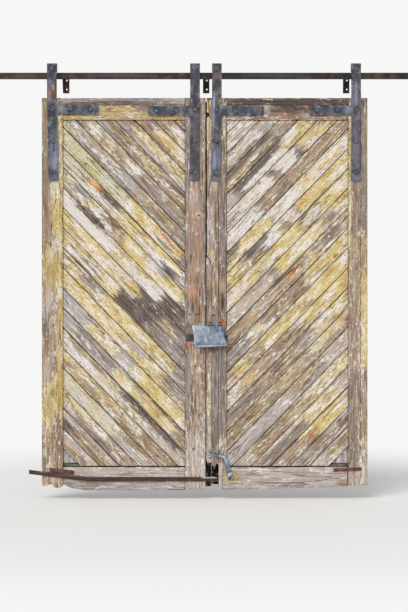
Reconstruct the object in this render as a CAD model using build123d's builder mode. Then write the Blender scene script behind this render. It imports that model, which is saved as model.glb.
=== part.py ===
"""A pair of top-hung sliding barn door leaves on a flat rail.

X runs to the right, Y runs into the wall and Z runs up. The wall face is the plane Y = 0, so a piece in
front of the wall has a negative Y. The origin is where the middle bracket meets the wall, at the height of
the rail's centre line and on the line where the two leaves meet. All sizes are in millimetres.
"""

from build123d import *
from math import cos, radians, sin
import os

os.makedirs("parts", exist_ok=True)

# Distances out from the wall
wall_clearance = 20
ledge_thickness = 30
frame_thickness = 50
backing_thickness = 20
board_thickness = 22

# The two leaves
leaf_top = -171
leaf_height = 3020
left_leaf_width = 1262
right_leaf_width = 1238
meeting_gap = 8
left_outer_stile_width = 162
left_meeting_stile_width = 158
right_outer_stile_width = 148
edge_plank_width = 90
inner_plank_width = 61
plank_joint = 1.5
cap_height = 54
top_rail_height = 116
bottom_rail_height = 178
timber_joint = 1
cap_joint = 0.3
cap_lap = 30
right_leaf_rise = 38
right_rail_lap = 30
right_rail_gap = 5
rail_shoulder_drop = 16

# Diagonal boards: cover width, lean and the place of the lowest joint on the outer stile
board_lean = 45.8
left_board_cover = 107.8
right_board_cover = 106.6
left_lowest_joint = 324
right_lowest_joint = 340
board_joint = 1.6
board_bevel = 3
tongue_length = 6
tongue_thickness = 7
groove_depth = 8.5
groove_thickness = 7.6

# Vertical backing boards and the ledges behind them
backing_count = 8
backing_joint = 2
rail_lip = 18
backing_foot_gap = 12
top_ledge_height = 110
middle_ledge_height = 120
bottom_ledge_height = 200
bottom_ledge_lift = 41
ledge_end_inset = 12
cover_strip_thickness = 18
cover_strip_lap = 44
cover_strip_nut_clearance = 11
cover_strip_short = 25
slide_clearance = 1

# Rail, brackets and end stops
rail_height = 50
rail_thickness = 10
bracket_left_margin = 339
bracket_right_margin = 305
bracket_width = 50
bracket_plate_thickness = 8
bracket_plate_top = 20
bracket_foot_margin = 30
bracket_web_thickness = 10
bracket_arm_height = 24
bracket_web_margin = 13
bracket_web_nose = 12
anchor_hole_diameter = 13
anchor_spacing = 70
anchor_top = -25
anchor_side = 5
stop_width = 60
stop_height = 78
stop_thickness = 8
stop_above_axle = 10.8
stop_clearance = 8
rail_end_margin = 20
leaf_travel = 1200

# Strap hangers and their wheels
strap_width = 75
strap_thickness = 8
strap_length = 907
strap_edge_left_outer = 78
strap_edge_left_inner = 82
strap_edge_right_inner = 78
strap_edge_right_outer = 88
strap_lean_left_outer = 15
strap_lean_right_inner = -9
yoke_headroom = 2.8
yoke_bend = 14
yoke_leg_below_axle = 17.2
arm_height = 76
arm_drop = 93
arm_reach = 360
arm_weld = 12
arm_bolt_near = 143
arm_bolt_far = 298
arm_sag_left_outer = -2
arm_sag_left_inner = 8
arm_sag_right_inner = 8
arm_sag_right_outer = 4
strap_foot_bolt = 66
corner_round = 6
tread_radius = 27
flange_radius = 33
wheel_width = 36
groove_width = 12
wheel_running_gap = 0.2
wheel_side_clearance = 2
wheel_hub_wall = 7
wheel_rim_wall = 5
wheel_dish = 4
axle_diameter = 16
axle_fit = 0.08
axle_head_diameter = 36
axle_head_height = 9

# Coach bolts and flanged nuts
bolt_diameter = 12
bolt_hole_diameter = 13
bolt_head_diameter = 30
bolt_head_height = 7
nut_width = 19
nut_height = 10
nut_flange_diameter = 30
nut_flange_height = 2.5
nut_fit = 0.4
bolt_end = 3
dome_share = 0.85

# Small ironwork
lock_plate_height = 50
lock_plate_thickness = 6
left_lock_reach = 159
right_lock_reach = 165
lock_setback = 3
lock_height = 1171
lock_mismatch = 4
left_lock_screw_reach = (60, 130)
right_lock_screw_reach = (60, 135)
lug_length = 36
eye_diameter = 14
hood_sheet = 2
hood_depth = 53
hood_back_gap = 3
hood_return = 12
hinge_setback = 14
hinge_length = 104
hinge_leaf_height = 24
hinge_leaf_thickness = 2
hinge_rise = 104
hinge_barrel_radius = 4.5
hinge_pin_radius = 2
hinge_knuckle_gap = 1
hinge_fit = 0.08
handle_diameter = 34
handle_tab_thickness = 6
handle_tab_width = 40
handle_standoff = 28
bar_height = 32
bar_thickness = 8
bar_left_overhang = 98
bar_right_overhang = 89
bar_bolt_inset = 76
mending_plate_thickness = 4
left_mending_height = 32
right_mending_height = 25
screw_head_diameter = 16
screw_head_height = 4
screw_shank_diameter = 6
screw_length = 40
screw_hole_diameter = 6.6
edge_hole_diameter = 35
edge_hole_depth = 42
edge_hole_drop = 130
edge_hole_inset = 4.5
edge_strip_width = 40
edge_strip_thickness = 22
edge_strip_drop = 1287
edge_strip_lift = 207
edge_strip_proud = 2
notch_depth = 30
notch_wall_bottom = 18
notch_wall_top = 46
notch_top = 77
meeting_stile_lift = 8
right_rail_step = 10
lock_plate_bend = 4
hinge_pin_proud = 3
hinge_barrel_gap = 0.5
handle_bend = 40
tab_round_share = 0.45
bar_start_height = 141

# Rotten and worn ends: each point is a distance from the piece's edge and a height above its foot
stile_rot = [(0, 38), (22, 30), (58, 40), (66, 74), (78, 42), (96, 20), (140, 16)]
stile_rot_end = 34
left_rail_sweep = [(0, 46), (70, 14), (170, 0)]
plank_rot = [(28, 207), (44, 193), (59, 164), (71, 200)]
plank_rot_end = 204
strip_rot = [(6, 0), (-2, 30)]
strip_rot_heights = (10, 4)
inner_plank_wear = (20, 8)
right_rail_wear = 2

# Places of the flat ironwork, measured the same way from the edge of the leaf's panel and its foot
bar_knee_place = (191, 85)
left_mending_ends = [(-102, 156), (88, 136)]
right_mending_ends = [(-114, 153), (100, 163)]
left_mending_screw_shares = (0.12, 0.88)
right_mending_screw_shares = (0.08, 0.72, 0.92)
hinge_screw_shares = (0.15, 0.85)

# The handle's lower screw is placed from the panel's edge, and its other points from that screw.
handle_low_tab_place = (30.5, 101)
handle_low_tab_bend = (-6, 30)
handle_top_tab_bend = (-121, 181)
handle_top_tab_reach = (-153, 185)
handle_corners = [(-89, 172), (-44, 153), (-15, 60)]

# Corners of the hood, measured from the padlock eyes at the middle of the meeting gap
hood_outline = [(-108, 99), (135, 89), (137, 16), (152, -23), (162, -58), (-82, -71)]

# Places worked out from the sizes above
frame_back = wall_clearance + ledge_thickness
leaf_face = frame_back + frame_thickness
board_back = frame_back + backing_thickness
board_face = board_back + board_thickness
yoke_gap = wheel_width + 2 * wheel_side_clearance
rail_plane = leaf_face - yoke_gap / 2
leaf_bottom = leaf_top - leaf_height
left_meeting_edge = -meeting_gap / 2
right_meeting_edge = meeting_gap / 2
left_outer_edge = left_meeting_edge - left_leaf_width
right_outer_edge = right_meeting_edge + right_leaf_width
left_panel = (left_outer_edge + left_outer_stile_width, left_meeting_edge - left_meeting_stile_width)
inner_plank_left = right_meeting_edge + edge_plank_width + plank_joint
right_panel = (inner_plank_left + inner_plank_width, right_outer_edge - right_outer_stile_width)
cap_bottom = leaf_top - cap_height
top_rail_top = cap_bottom - cap_joint
panel_top = top_rail_top - top_rail_height
panel_bottom = leaf_bottom + bottom_rail_height
backing_bottom = panel_bottom + rail_lip + backing_foot_gap
wheel_level = rail_height / 2 + tread_radius + wheel_running_gap
yoke_leg_bottom = wheel_level - yoke_leg_below_axle
strap_top = wheel_level + flange_radius + yoke_headroom + strap_thickness
strap_bottom = strap_top - strap_length
arm_level = leaf_top - arm_drop
lowest_bolt_level = strap_bottom + strap_foot_bolt
middle_bolt_level = (arm_level + lowest_bolt_level) / 2
top_ledge_level = (arm_level + middle_bolt_level) / 2
cover_strip_hold = strap_edge_left_inner - nut_flange_diameter / 2 - cover_strip_nut_clearance
bracket_plate_bottom = anchor_top - anchor_spacing - bracket_foot_margin
eye_level = leaf_bottom + lock_height
hinge_axis_level = eye_level + hinge_rise
hinge_left = right_meeting_edge + hinge_setback
edge_strip_top = leaf_top - edge_strip_drop
edge_strip_bottom = leaf_bottom + edge_strip_lift
strap_places = {
    "left_outer": left_outer_edge + strap_edge_left_outer,
    "left_inner": left_meeting_edge - strap_edge_left_inner,
    "right_inner": right_meeting_edge + strap_edge_right_inner,
    "right_outer": right_outer_edge - strap_edge_right_outer,
}
arm_sides = {"left_outer": 1, "left_inner": -1, "right_inner": 1, "right_outer": -1}
strap_leans = {"left_outer": strap_lean_left_outer, "left_inner": 0, "right_inner": strap_lean_right_inner,
               "right_outer": 0}
arm_levels = {
    "left_outer": arm_level - arm_sag_left_outer,
    "left_inner": arm_level - arm_sag_left_inner,
    "right_inner": arm_level - arm_sag_right_inner,
    "right_outer": arm_level - arm_sag_right_outer,
}


def front(distance):
    """The upright plane at a distance out from the wall; a sketch on it is drawn in X and Z."""
    return Plane.XZ.offset(distance)


def area(left, right, bottom, top, mode=Mode.ADD):
    """A rectangle between four edges, in the sketch that is open."""
    with Locations(((left + right) / 2, (bottom + top) / 2)):
        Rectangle(right - left, top - bottom, mode=mode)


def block(outline, start, thickness, mode=Mode.ADD):
    """A block with a given outline that runs towards the front from a distance out from the wall."""
    with BuildSketch(front(start)) as shape:
        with BuildLine():
            Polyline(*outline, close=True)
        make_face()
    extrude(shape.sketch, amount=thickness, mode=mode)


def drill(holes, diameter, start, depth):
    """Round holes that run towards the front from a distance out from the wall."""
    if holes:
        with BuildSketch(front(start)) as circles:
            with Locations(holes):
                Circle(diameter / 2)
        extrude(circles.sketch, amount=depth, mode=Mode.SUBTRACT)


def save(piece, name):
    piece.part.label = name
    export_step(piece.part, f"parts/{name}.step")


def from_edge(edge, height, points):
    """Points given by their distance from an upright edge and their rise above a height."""
    return [(edge + across, height + up) for across, up in points]


def leaning(strap, level):
    """Where the middle line of a strap is at a level below the leaf's top; two straps hang a little askew."""
    share = (leaf_top - level) / (leaf_top - strap_bottom)
    return strap_places[strap] + share * strap_leans[strap]


def bolt_holes(strap):
    """The five bolt places of one hanger: three down the strap and two along the arm."""
    levels = (arm_level, middle_bolt_level, lowest_bolt_level)
    down_strap = [(leaning(strap, level), level) for level in levels]
    reach = [arm_sides[strap] * distance for distance in (arm_bolt_near, arm_bolt_far)]
    return down_strap + [(strap_places[strap] + distance, arm_levels[strap]) for distance in reach]


left_bolts = bolt_holes("left_outer") + bolt_holes("left_inner")
right_bolts = bolt_holes("right_inner") + bolt_holes("right_outer")

# The rusty bar falls from its left end to a knee, then runs level past the meeting line.
bar_knee = from_edge(left_panel[0], leaf_bottom, [bar_knee_place])[0]
bar_start = (left_outer_edge - bar_left_overhang, leaf_bottom + bar_start_height)
bar_finish = (left_meeting_edge + bar_right_overhang, bar_knee[1])
bar_fall = (bar_start[1] - bar_knee[1]) / (bar_knee[0] - bar_start[0])
bar_first_bolt = left_outer_edge + bar_bolt_inset
bar_bolts = [
    (bar_first_bolt, bar_knee[1] + bar_fall * (bar_knee[0] - bar_first_bolt)),
    (sum(left_panel) / 2, bar_knee[1]),
    (left_meeting_edge - bar_bolt_inset, bar_knee[1]),
]

# Screws of the small ironwork, as places on the leaf's face
left_lock_level = eye_level + lock_mismatch
right_lock_level = eye_level - lock_mismatch
left_lock_screws = [(left_meeting_edge - reach, left_lock_level) for reach in left_lock_screw_reach]
right_lock_screws = [(right_meeting_edge + reach, right_lock_level) for reach in right_lock_screw_reach]
hinge_screw_level = hinge_axis_level + hinge_barrel_radius + hinge_leaf_height / 2
hinge_screws = [(hinge_left + share * hinge_length, hinge_screw_level) for share in hinge_screw_shares]
handle_low_tab = from_edge(right_panel[0], leaf_bottom, [handle_low_tab_place])[0]
handle_low_tab_end, handle_top_tab_end, handle_top_tab = from_edge(
    *handle_low_tab, [handle_low_tab_bend, handle_top_tab_bend, handle_top_tab_reach])
pipe_corners = from_edge(*handle_low_tab, handle_corners)
left_mending = from_edge(left_panel[0], leaf_bottom, left_mending_ends)
right_mending = from_edge(right_panel[1], leaf_bottom, right_mending_ends)


def along(ends, share):
    """A point part of the way from one end of a line to the other."""
    (x0, z0), (x1, z1) = ends
    return (x0 + share * (x1 - x0), z0 + share * (z1 - z0))


left_mending_screws = [along(left_mending, share) for share in left_mending_screw_shares]
right_mending_screws = [along(right_mending, share) for share in right_mending_screw_shares]
left_face_screws = left_lock_screws + left_mending_screws + bar_bolts
right_face_screws = right_lock_screws + right_mending_screws + hinge_screws + [handle_top_tab, handle_low_tab]


def timber(outline, back, thickness, bolts=(), screws=()):
    """A piece of wood cut to an outline, with clear bolt holes and screw holes from the front."""
    with BuildPart() as piece:
        block(outline, back, thickness)
        drill(bolts, bolt_hole_diameter, back, thickness)
        drill(screws, screw_hole_diameter, leaf_face - screw_length, screw_length)
    return piece


def rectangle(left, right, bottom, top):
    """Corners of an upright rectangle."""
    return [(left, bottom), (right, bottom), (right, top), (left, top)]


def inside(places, left, right, bottom, top):
    """Those of the places that fall on a piece."""
    return [(x, z) for x, z in places if left < x < right and bottom < z < top]


def plank(left, right, bottom, top, places, screws):
    """A full-thickness frame timber with square ends."""
    return timber(rectangle(left, right, bottom, top), frame_back, frame_thickness,
                  inside(places, left, right, bottom, top), inside(screws, left, right, bottom, top))


# Left leaf, frame timbers. The outer stile's foot has rotted into two uneven tongues.
left_panel_left, left_panel_right = left_panel
foot = leaf_bottom
left_outer_outline = from_edge(left_outer_edge, foot, stile_rot) + [
    (left_panel_left, foot + stile_rot_end),
    (left_panel_left, leaf_top),
    (left_outer_edge, leaf_top),
]
cap_housing = rectangle(left_panel_left - cap_lap - timber_joint, left_panel_left, cap_bottom - timber_joint,
                        leaf_top)
with BuildPart() as left_outer_stile:
    block(left_outer_outline, frame_back, frame_thickness)
    block(cap_housing, frame_back, frame_thickness, Mode.SUBTRACT)
    drill(inside(left_bolts, left_outer_edge, left_panel_left, leaf_bottom, leaf_top), bolt_hole_diameter,
          frame_back, frame_thickness)
    drill(inside(left_face_screws, left_outer_edge, left_panel_left, leaf_bottom, leaf_top),
          screw_hole_diameter, leaf_face - screw_length, screw_length)
save(left_outer_stile, "left_outer_stile")

left_meeting_stile = plank(left_panel_right, left_meeting_edge, leaf_bottom + meeting_stile_lift, leaf_top,
                           left_bolts, left_face_screws)
save(left_meeting_stile, "left_meeting_stile")

left_top_cap = plank(left_panel_left - cap_lap, left_panel_right - timber_joint, cap_bottom, leaf_top, [], [])
save(left_top_cap, "left_top_cap")

left_top_rail = plank(left_panel_left + timber_joint, left_panel_right - timber_joint, panel_top,
                      top_rail_top, left_bolts, [])
save(left_top_rail, "left_top_rail")


def bottom_rail(outline, left, right, screws):
    """A bottom rail with a lip along its back edge that stands up behind the diagonal boards."""
    with BuildPart() as rail:
        block(outline, frame_back, frame_thickness)
        block(rectangle(left, right, panel_bottom, panel_bottom + rail_lip), frame_back, backing_thickness)
        drill(inside(screws, left, right, leaf_bottom, panel_bottom), screw_hole_diameter,
              leaf_face - screw_length, screw_length)
    return rail


left_rail_left = left_panel_left + timber_joint
left_rail_right = left_panel_right - timber_joint
left_bottom_rail = bottom_rail(
    from_edge(left_rail_left, foot, left_rail_sweep) + [
        (left_rail_right, foot),
        (left_rail_right, panel_bottom),
        (left_rail_left, panel_bottom),
    ],
    left_rail_left, left_rail_right, left_face_screws)
save(left_bottom_rail, "left_bottom_rail")

# Right leaf, frame timbers. The edge plank has a cut-out, a bored pocket and a rotted, ragged foot.
edge_plank_right = right_meeting_edge + edge_plank_width
strip_right = right_meeting_edge + edge_strip_width
edge_plank_outline = [
    (right_meeting_edge, leaf_top),
    (right_meeting_edge, edge_strip_top + notch_top),
    (right_meeting_edge + notch_depth, edge_strip_top + notch_wall_top),
    (right_meeting_edge + notch_depth, edge_strip_top + notch_wall_bottom),
    (right_meeting_edge, edge_strip_top),
    (right_meeting_edge, edge_strip_bottom - edge_strip_proud),
    *from_edge(right_meeting_edge, foot, plank_rot),
    (edge_plank_right, foot + plank_rot_end),
    (edge_plank_right, leaf_top),
]
strip_rebate = rectangle(right_meeting_edge, strip_right + timber_joint, leaf_bottom, edge_strip_top)
with BuildPart() as right_edge_plank:
    block(edge_plank_outline, frame_back, frame_thickness)
    block(strip_rebate, leaf_face - edge_strip_thickness, edge_strip_thickness, Mode.SUBTRACT)
    drill([(right_meeting_edge + edge_hole_inset, leaf_top - edge_hole_drop)], edge_hole_diameter,
          leaf_face - edge_hole_depth, edge_hole_depth)
    drill(inside(right_bolts, right_meeting_edge, edge_plank_right, leaf_bottom, leaf_top),
          bolt_hole_diameter, frame_back, frame_thickness)
    drill(inside(right_face_screws, right_meeting_edge, edge_plank_right, leaf_bottom, leaf_top),
          screw_hole_diameter, leaf_face - screw_length, screw_length)
save(right_edge_plank, "right_edge_plank")

right_edge_strip = timber(
    [
        (right_meeting_edge - edge_strip_proud, edge_strip_top),
        (strip_right, edge_strip_top),
        (strip_right, edge_strip_bottom + strip_rot_heights[0]),
        (strip_right - edge_strip_width / 2, edge_strip_bottom + strip_rot_heights[1]),
        *from_edge(right_meeting_edge, edge_strip_bottom, strip_rot),
    ],
    leaf_face - edge_strip_thickness, edge_strip_thickness, [],
    inside(right_face_screws, right_meeting_edge, strip_right, leaf_bottom, edge_strip_top))
save(right_edge_strip, "right_edge_strip")

# The inner plank is cut narrower at its foot, where the bottom rail laps over to meet it.
right_panel_left, right_panel_right = right_panel
rail_shoulder = panel_bottom - rail_shoulder_drop
inner_plank_outline = [
    (inner_plank_left, leaf_top),
    (inner_plank_left, foot + inner_plank_wear[0]),
    (right_panel_left - right_rail_lap - timber_joint, foot + inner_plank_wear[1]),
    (right_panel_left - right_rail_lap - timber_joint, rail_shoulder),
    (right_panel_left, rail_shoulder),
    (right_panel_left, leaf_top),
]
right_inner_plank = timber(
    inner_plank_outline, frame_back, frame_thickness,
    inside(right_bolts, inner_plank_left, right_panel_left, leaf_bottom, leaf_top),
    inside(right_face_screws, inner_plank_left, right_panel_left, leaf_bottom, leaf_top))
save(right_inner_plank, "right_inner_plank")

right_outer_stile = plank(right_panel_right, right_outer_edge, leaf_bottom + right_leaf_rise, leaf_top,
                          right_bolts, right_face_screws)
save(right_outer_stile, "right_outer_stile")

right_top_cap = plank(right_panel_left + timber_joint, right_panel_right - timber_joint, cap_bottom, leaf_top,
                      [], [])
save(right_top_cap, "right_top_cap")

right_top_rail = plank(right_panel_left + timber_joint, right_panel_right - timber_joint, panel_top,
                       top_rail_top, right_bolts, [])
save(right_top_rail, "right_top_rail")

right_rail_right = right_panel_right - right_rail_gap
right_bottom_rail = bottom_rail(
    [
        (right_panel_left - right_rail_lap, foot + right_rail_wear),
        (right_rail_right, foot + right_leaf_rise - right_rail_step),
        (right_rail_right, panel_bottom),
        (right_panel_left + timber_joint, panel_bottom),
        (right_panel_left + timber_joint, rail_shoulder - timber_joint),
        (right_panel_left - right_rail_lap, rail_shoulder - timber_joint),
    ],
    right_panel_left + timber_joint, right_rail_right, right_face_screws)
save(right_bottom_rail, "right_bottom_rail")


def diagonal_boards(panel, lean_side, cover, lowest_joint):
    """Tongued and grooved boards laid at a slant across a leaf's panel, without the lowest corner one.

    lean_side is 1 where the boards fall to the right and -1 where they fall to the left.
    """
    left, right = panel
    outer = left if lean_side > 0 else right
    slant = radians(board_lean)
    across = Vector(lean_side * sin(slant), 0, cos(slant))
    lengthwise = Vector(cos(slant), 0, -lean_side * sin(slant))
    first = Vector(outer, -board_back, leaf_bottom + lowest_joint)
    rise = Vector(0, 0, cover / cos(slant))
    width = cover - board_joint
    middle = board_thickness / 2
    tongue = tongue_thickness / 2
    groove = groove_thickness / 2
    half_length = (right - left + cover) / cos(slant)
    span = (right - left) * sin(slant) + (panel_top - first.Z) * cos(slant)
    with BuildPart() as boards:
        for number in range(int(span / cover) + 1):
            with BuildSketch(Plane(first + rise * number, x_dir=across, z_dir=lengthwise)):
                with BuildLine():
                    Polyline(
                        (0, 0),
                        (width, 0),
                        (width, middle - tongue),
                        (width + tongue_length, middle - tongue),
                        (width + tongue_length, middle + tongue),
                        (width, middle + tongue),
                        (width, board_thickness - board_bevel),
                        (width - board_bevel, board_thickness),
                        (board_bevel, board_thickness),
                        (0, board_thickness - board_bevel),
                        (0, middle + groove),
                        (groove_depth, middle + groove),
                        (groove_depth, middle - groove),
                        (0, middle - groove),
                        close=True)
                make_face()
            extrude(amount=half_length, both=True)
        block(rectangle(left + timber_joint, right - timber_joint, panel_bottom + timber_joint,
                        panel_top - timber_joint), board_back, board_thickness, Mode.INTERSECT)
    return boards


left_diagonal_boards = diagonal_boards(left_panel, 1, left_board_cover, left_lowest_joint)
save(left_diagonal_boards, "left_diagonal_boards")
right_diagonal_boards = diagonal_boards(right_panel, -1, right_board_cover, right_lowest_joint)
save(right_diagonal_boards, "right_diagonal_boards")


def backing_boards(panel):
    """Upright boards behind the diagonal ones, standing just clear of the bottom rail's lip."""
    left, right = panel
    pitch = (right - left - backing_joint) / backing_count
    with BuildPart() as boards:
        for number in range(backing_count):
            start = left + backing_joint + number * pitch
            block(rectangle(start, start + pitch - backing_joint, backing_bottom, panel_top - timber_joint),
                  frame_back, backing_thickness)
    return boards


left_backing_boards = backing_boards(left_panel)
save(left_backing_boards, "left_backing_boards")
right_backing_boards = backing_boards(right_panel)
save(right_backing_boards, "right_backing_boards")

# Ledges nailed across the back of each leaf: top, middle and bottom
ledge_levels = {
    "top_ledge": (top_ledge_level - top_ledge_height / 2, top_ledge_level + top_ledge_height / 2),
    "middle_ledge": (leaf_top - (leaf_height + middle_ledge_height) / 2,
                     leaf_top - (leaf_height - middle_ledge_height) / 2),
    "bottom_ledge": (leaf_bottom + bottom_ledge_lift, leaf_bottom + bottom_ledge_lift + bottom_ledge_height),
}
ledge_spans = {
    "left": (left_outer_edge + ledge_end_inset, left_meeting_edge - cover_strip_hold - timber_joint),
    "right": (left_meeting_edge + cover_strip_lap + slide_clearance, right_outer_edge - ledge_end_inset),
}
for side, (ledge_left, ledge_right) in ledge_spans.items():
    for ledge, (low, high) in ledge_levels.items():
        piece = timber(rectangle(ledge_left, ledge_right, low, high), wall_clearance, ledge_thickness)
        save(piece, f"{side}_{ledge}")

# Cover strip on the back of the left leaf; the part that laps the right leaf stands clear of it.
with BuildPart() as meeting_cover_strip:
    block(rectangle(left_meeting_edge - cover_strip_hold, left_meeting_edge + cover_strip_lap,
                    leaf_bottom + cover_strip_short, leaf_top - cover_strip_short),
          frame_back - cover_strip_thickness, cover_strip_thickness)
    block(rectangle(left_meeting_edge, left_meeting_edge + cover_strip_lap, leaf_bottom, leaf_top),
          frame_back - slide_clearance, slide_clearance, Mode.SUBTRACT)
save(meeting_cover_strip, "meeting_cover_strip")

# Rail, with a stop beyond each leaf's travel
left_stop_inner = strap_places["left_outer"] - leaf_travel - flange_radius - stop_clearance
right_stop_inner = strap_places["right_outer"] + leaf_travel + flange_radius + stop_clearance
stop_places = [left_stop_inner - stop_width / 2, right_stop_inner + stop_width / 2]
rail_left = left_stop_inner - stop_width - rail_end_margin
rail_right = right_stop_inner + stop_width + rail_end_margin
with BuildPart() as rail:
    block(rectangle(rail_left, rail_right, -rail_height / 2, rail_height / 2),
          rail_plane - rail_thickness / 2, rail_thickness)
    chamfer(rail.edges().filter_by(Axis.Y), length=rail_thickness / 2)
    drill([(x, 0) for x in stop_places], bolt_hole_diameter, rail_plane - rail_thickness / 2, rail_thickness)
save(rail, "rail")

with BuildPart() as rail_stops:
    with BuildSketch(front(rail_plane + rail_thickness / 2)):
        for x in stop_places:
            with Locations((x, wheel_level + stop_above_axle - stop_height / 2)):
                RectangleRounded(stop_width, stop_height, corner_round)
    extrude(amount=stop_thickness)
    drill([(x, 0) for x in stop_places], bolt_hole_diameter, rail_plane + rail_thickness / 2, stop_thickness)
save(rail_stops, "rail_stops")


def coach_bolts(places, seat, far_face):
    """Dome-headed bolts whose heads sit on a face; far_face is where the nut's flange bears."""
    tip = far_face - nut_flange_height - nut_height - bolt_end
    with BuildPart() as bolts:
        with BuildSketch(front(tip)):
            with Locations(places):
                Circle(bolt_diameter / 2)
        extrude(amount=seat - tip)
        with BuildSketch(front(seat)):
            with Locations(places):
                Circle(bolt_head_diameter / 2)
        extrude(amount=bolt_head_height)
        rims = bolts.edges().filter_by(GeomType.CIRCLE).group_by(Axis.Y)[0]
        fillet(rims, bolt_head_height * dome_share)
    return bolts


def flanged_nuts(places, seat, diameter=bolt_diameter, width=nut_width, flange=nut_flange_diameter):
    """Hexagon nuts with a round flange, seated on a face that looks towards the wall."""
    with BuildPart() as nuts:
        with BuildSketch(front(seat - nut_flange_height)):
            with Locations(places):
                Circle(flange / 2)
        extrude(amount=nut_flange_height)
        with BuildSketch(front(seat - nut_flange_height - nut_height)):
            with Locations(places):
                RegularPolygon(width / 2, 6, major_radius=False)
        extrude(amount=nut_height)
        drill(places, diameter + nut_fit, seat - nut_flange_height - nut_height,
              nut_flange_height + nut_height)
    return nuts


stop_seats = [(x, 0) for x in stop_places]
stop_bolts = coach_bolts(stop_seats, rail_plane + rail_thickness / 2 + stop_thickness,
                         rail_plane - rail_thickness / 2)
save(stop_bolts, "stop_bolts")
stop_nuts = flanged_nuts(stop_seats, rail_plane - rail_thickness / 2)
save(stop_nuts, "stop_nuts")

# Wall brackets: an upright plate with a tapered web that is welded to the back of the rail
bracket_names = ("far_left", "left", "middle", "right", "far_right")
rail_back = rail_plane - rail_thickness / 2
web_foot = bracket_plate_bottom + bracket_web_margin
bracket_ends = (rail_left + bracket_left_margin, rail_right - bracket_right_margin)
bracket_places = (bracket_ends[0], bracket_ends[0] / 2, 0, bracket_ends[1] / 2, bracket_ends[1])
for place, x in zip(bracket_names, bracket_places):
    web_left = x - bracket_width / 2
    with BuildPart() as bracket:
        block(rectangle(x - bracket_width / 2, x + bracket_width / 2, bracket_plate_bottom,
                        bracket_plate_top), 0, bracket_plate_thickness)
        with BuildSketch(Plane.YZ.offset(web_left)):
            with BuildLine():
                Polyline(
                    (0, bracket_arm_height / 2),
                    (-rail_back, bracket_arm_height / 2),
                    (-rail_back, -bracket_arm_height / 2),
                    (-bracket_plate_thickness - bracket_web_nose, web_foot + bracket_web_nose),
                    (0, web_foot),
                    close=True)
            make_face()
        extrude(amount=bracket_web_thickness)
        drill([(x + anchor_side, anchor_top), (x + anchor_side, anchor_top - anchor_spacing)],
              anchor_hole_diameter, 0, bracket_plate_thickness)
    save(bracket, f"rail_bracket_{place}")


# Strap hangers
def hanger(strap):
    """A strap bent over the rail at its top, with a flat arm welded to one side."""
    x = strap_places[strap]
    side = arm_sides[strap]
    face = leaf_face
    yoke_front = face + strap_thickness
    yoke_back = face - yoke_gap
    foot_x = x + strap_leans[strap]
    arm = arm_levels[strap]
    weld_x = x + side * strap_width / 2
    weld_reach = abs(strap_leans[strap]) + 1
    tip_x = x + side * arm_reach
    with BuildPart() as piece:
        with BuildSketch(Plane.YZ.offset(x - strap_width / 2)) as yoke:
            with BuildLine():
                Polyline(
                    (-yoke_front, leaf_top),
                    (-yoke_front, strap_top),
                    (-yoke_back + strap_thickness, strap_top),
                    (-yoke_back + strap_thickness, yoke_leg_bottom),
                    (-yoke_back, yoke_leg_bottom),
                    (-yoke_back, strap_top - strap_thickness),
                    (-face, strap_top - strap_thickness),
                    (-face, leaf_top),
                    close=True)
            make_face()
            fillet(yoke.vertices().group_by(Axis.Y)[-1], yoke_bend)
            fillet(yoke.vertices().filter_by_position(Axis.Y, strap_top - strap_thickness,
                                                      strap_top - strap_thickness),
                   yoke_bend - strap_thickness)
        extrude(amount=strap_width)
        with BuildSketch(front(face)) as plate:
            with BuildLine():
                Polyline(
                    (x - strap_width / 2, leaf_top),
                    (x + strap_width / 2, leaf_top),
                    (foot_x + strap_width / 2, strap_bottom),
                    (foot_x - strap_width / 2, strap_bottom),
                    close=True)
            make_face()
            area(min(x, tip_x), max(x, tip_x), arm - arm_height / 2, arm + arm_height / 2)
            fillet(plate.vertices().filter_by_position(Axis.X, weld_x - weld_reach, weld_x + weld_reach)
                   .filter_by_position(Axis.Y, arm - arm_height, arm + arm_height / 2 + 1), arm_weld)
            fillet(plate.vertices().filter_by_position(Axis.X, tip_x - 1, tip_x + 1), corner_round)
            fillet(plate.vertices().group_by(Axis.Y)[0], corner_round)
        extrude(amount=strap_thickness)
        drill(bolt_holes(strap), bolt_hole_diameter, face, strap_thickness)
        drill([(x, wheel_level)], axle_diameter + 4 * axle_fit, 0, yoke_front)
    return piece


for strap in strap_places:
    save(hanger(strap), f"{strap}_hanger")


def grooved_wheel(strap):
    """A wheel with a flange each side of the rail, dished on both faces, on a plain bore."""
    centre = (strap_places[strap], -rail_plane, wheel_level)
    half = wheel_width / 2
    bore = axle_diameter / 2 + axle_fit
    hub = bore + wheel_hub_wall
    rim = tread_radius - wheel_rim_wall
    with BuildPart() as wheel:
        with BuildSketch(Plane(centre, x_dir=(0, 1, 0), z_dir=(1, 0, 0))):
            with BuildLine():
                Polyline(
                    (-half, bore),
                    (-half, hub),
                    (-half + wheel_dish, hub + 1),
                    (-half + wheel_dish, rim),
                    (-half + 1, rim + 2),
                    (-half + 1, flange_radius - 2),
                    (-half + 3, flange_radius),
                    (-groove_width / 2 - 2, flange_radius),
                    (-groove_width / 2, tread_radius),
                    (groove_width / 2, tread_radius),
                    (groove_width / 2 + 2, flange_radius),
                    (half - 3, flange_radius),
                    (half - 1, flange_radius - 2),
                    (half - 1, rim + 2),
                    (half - wheel_dish, rim),
                    (half - wheel_dish, hub + 1),
                    (half, hub),
                    (half, bore),
                    close=True)
            make_face()
        revolve(axis=Axis(centre, (0, 1, 0)))
    return wheel


for strap in strap_places:
    save(grooved_wheel(strap), f"{strap}_wheel")


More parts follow.
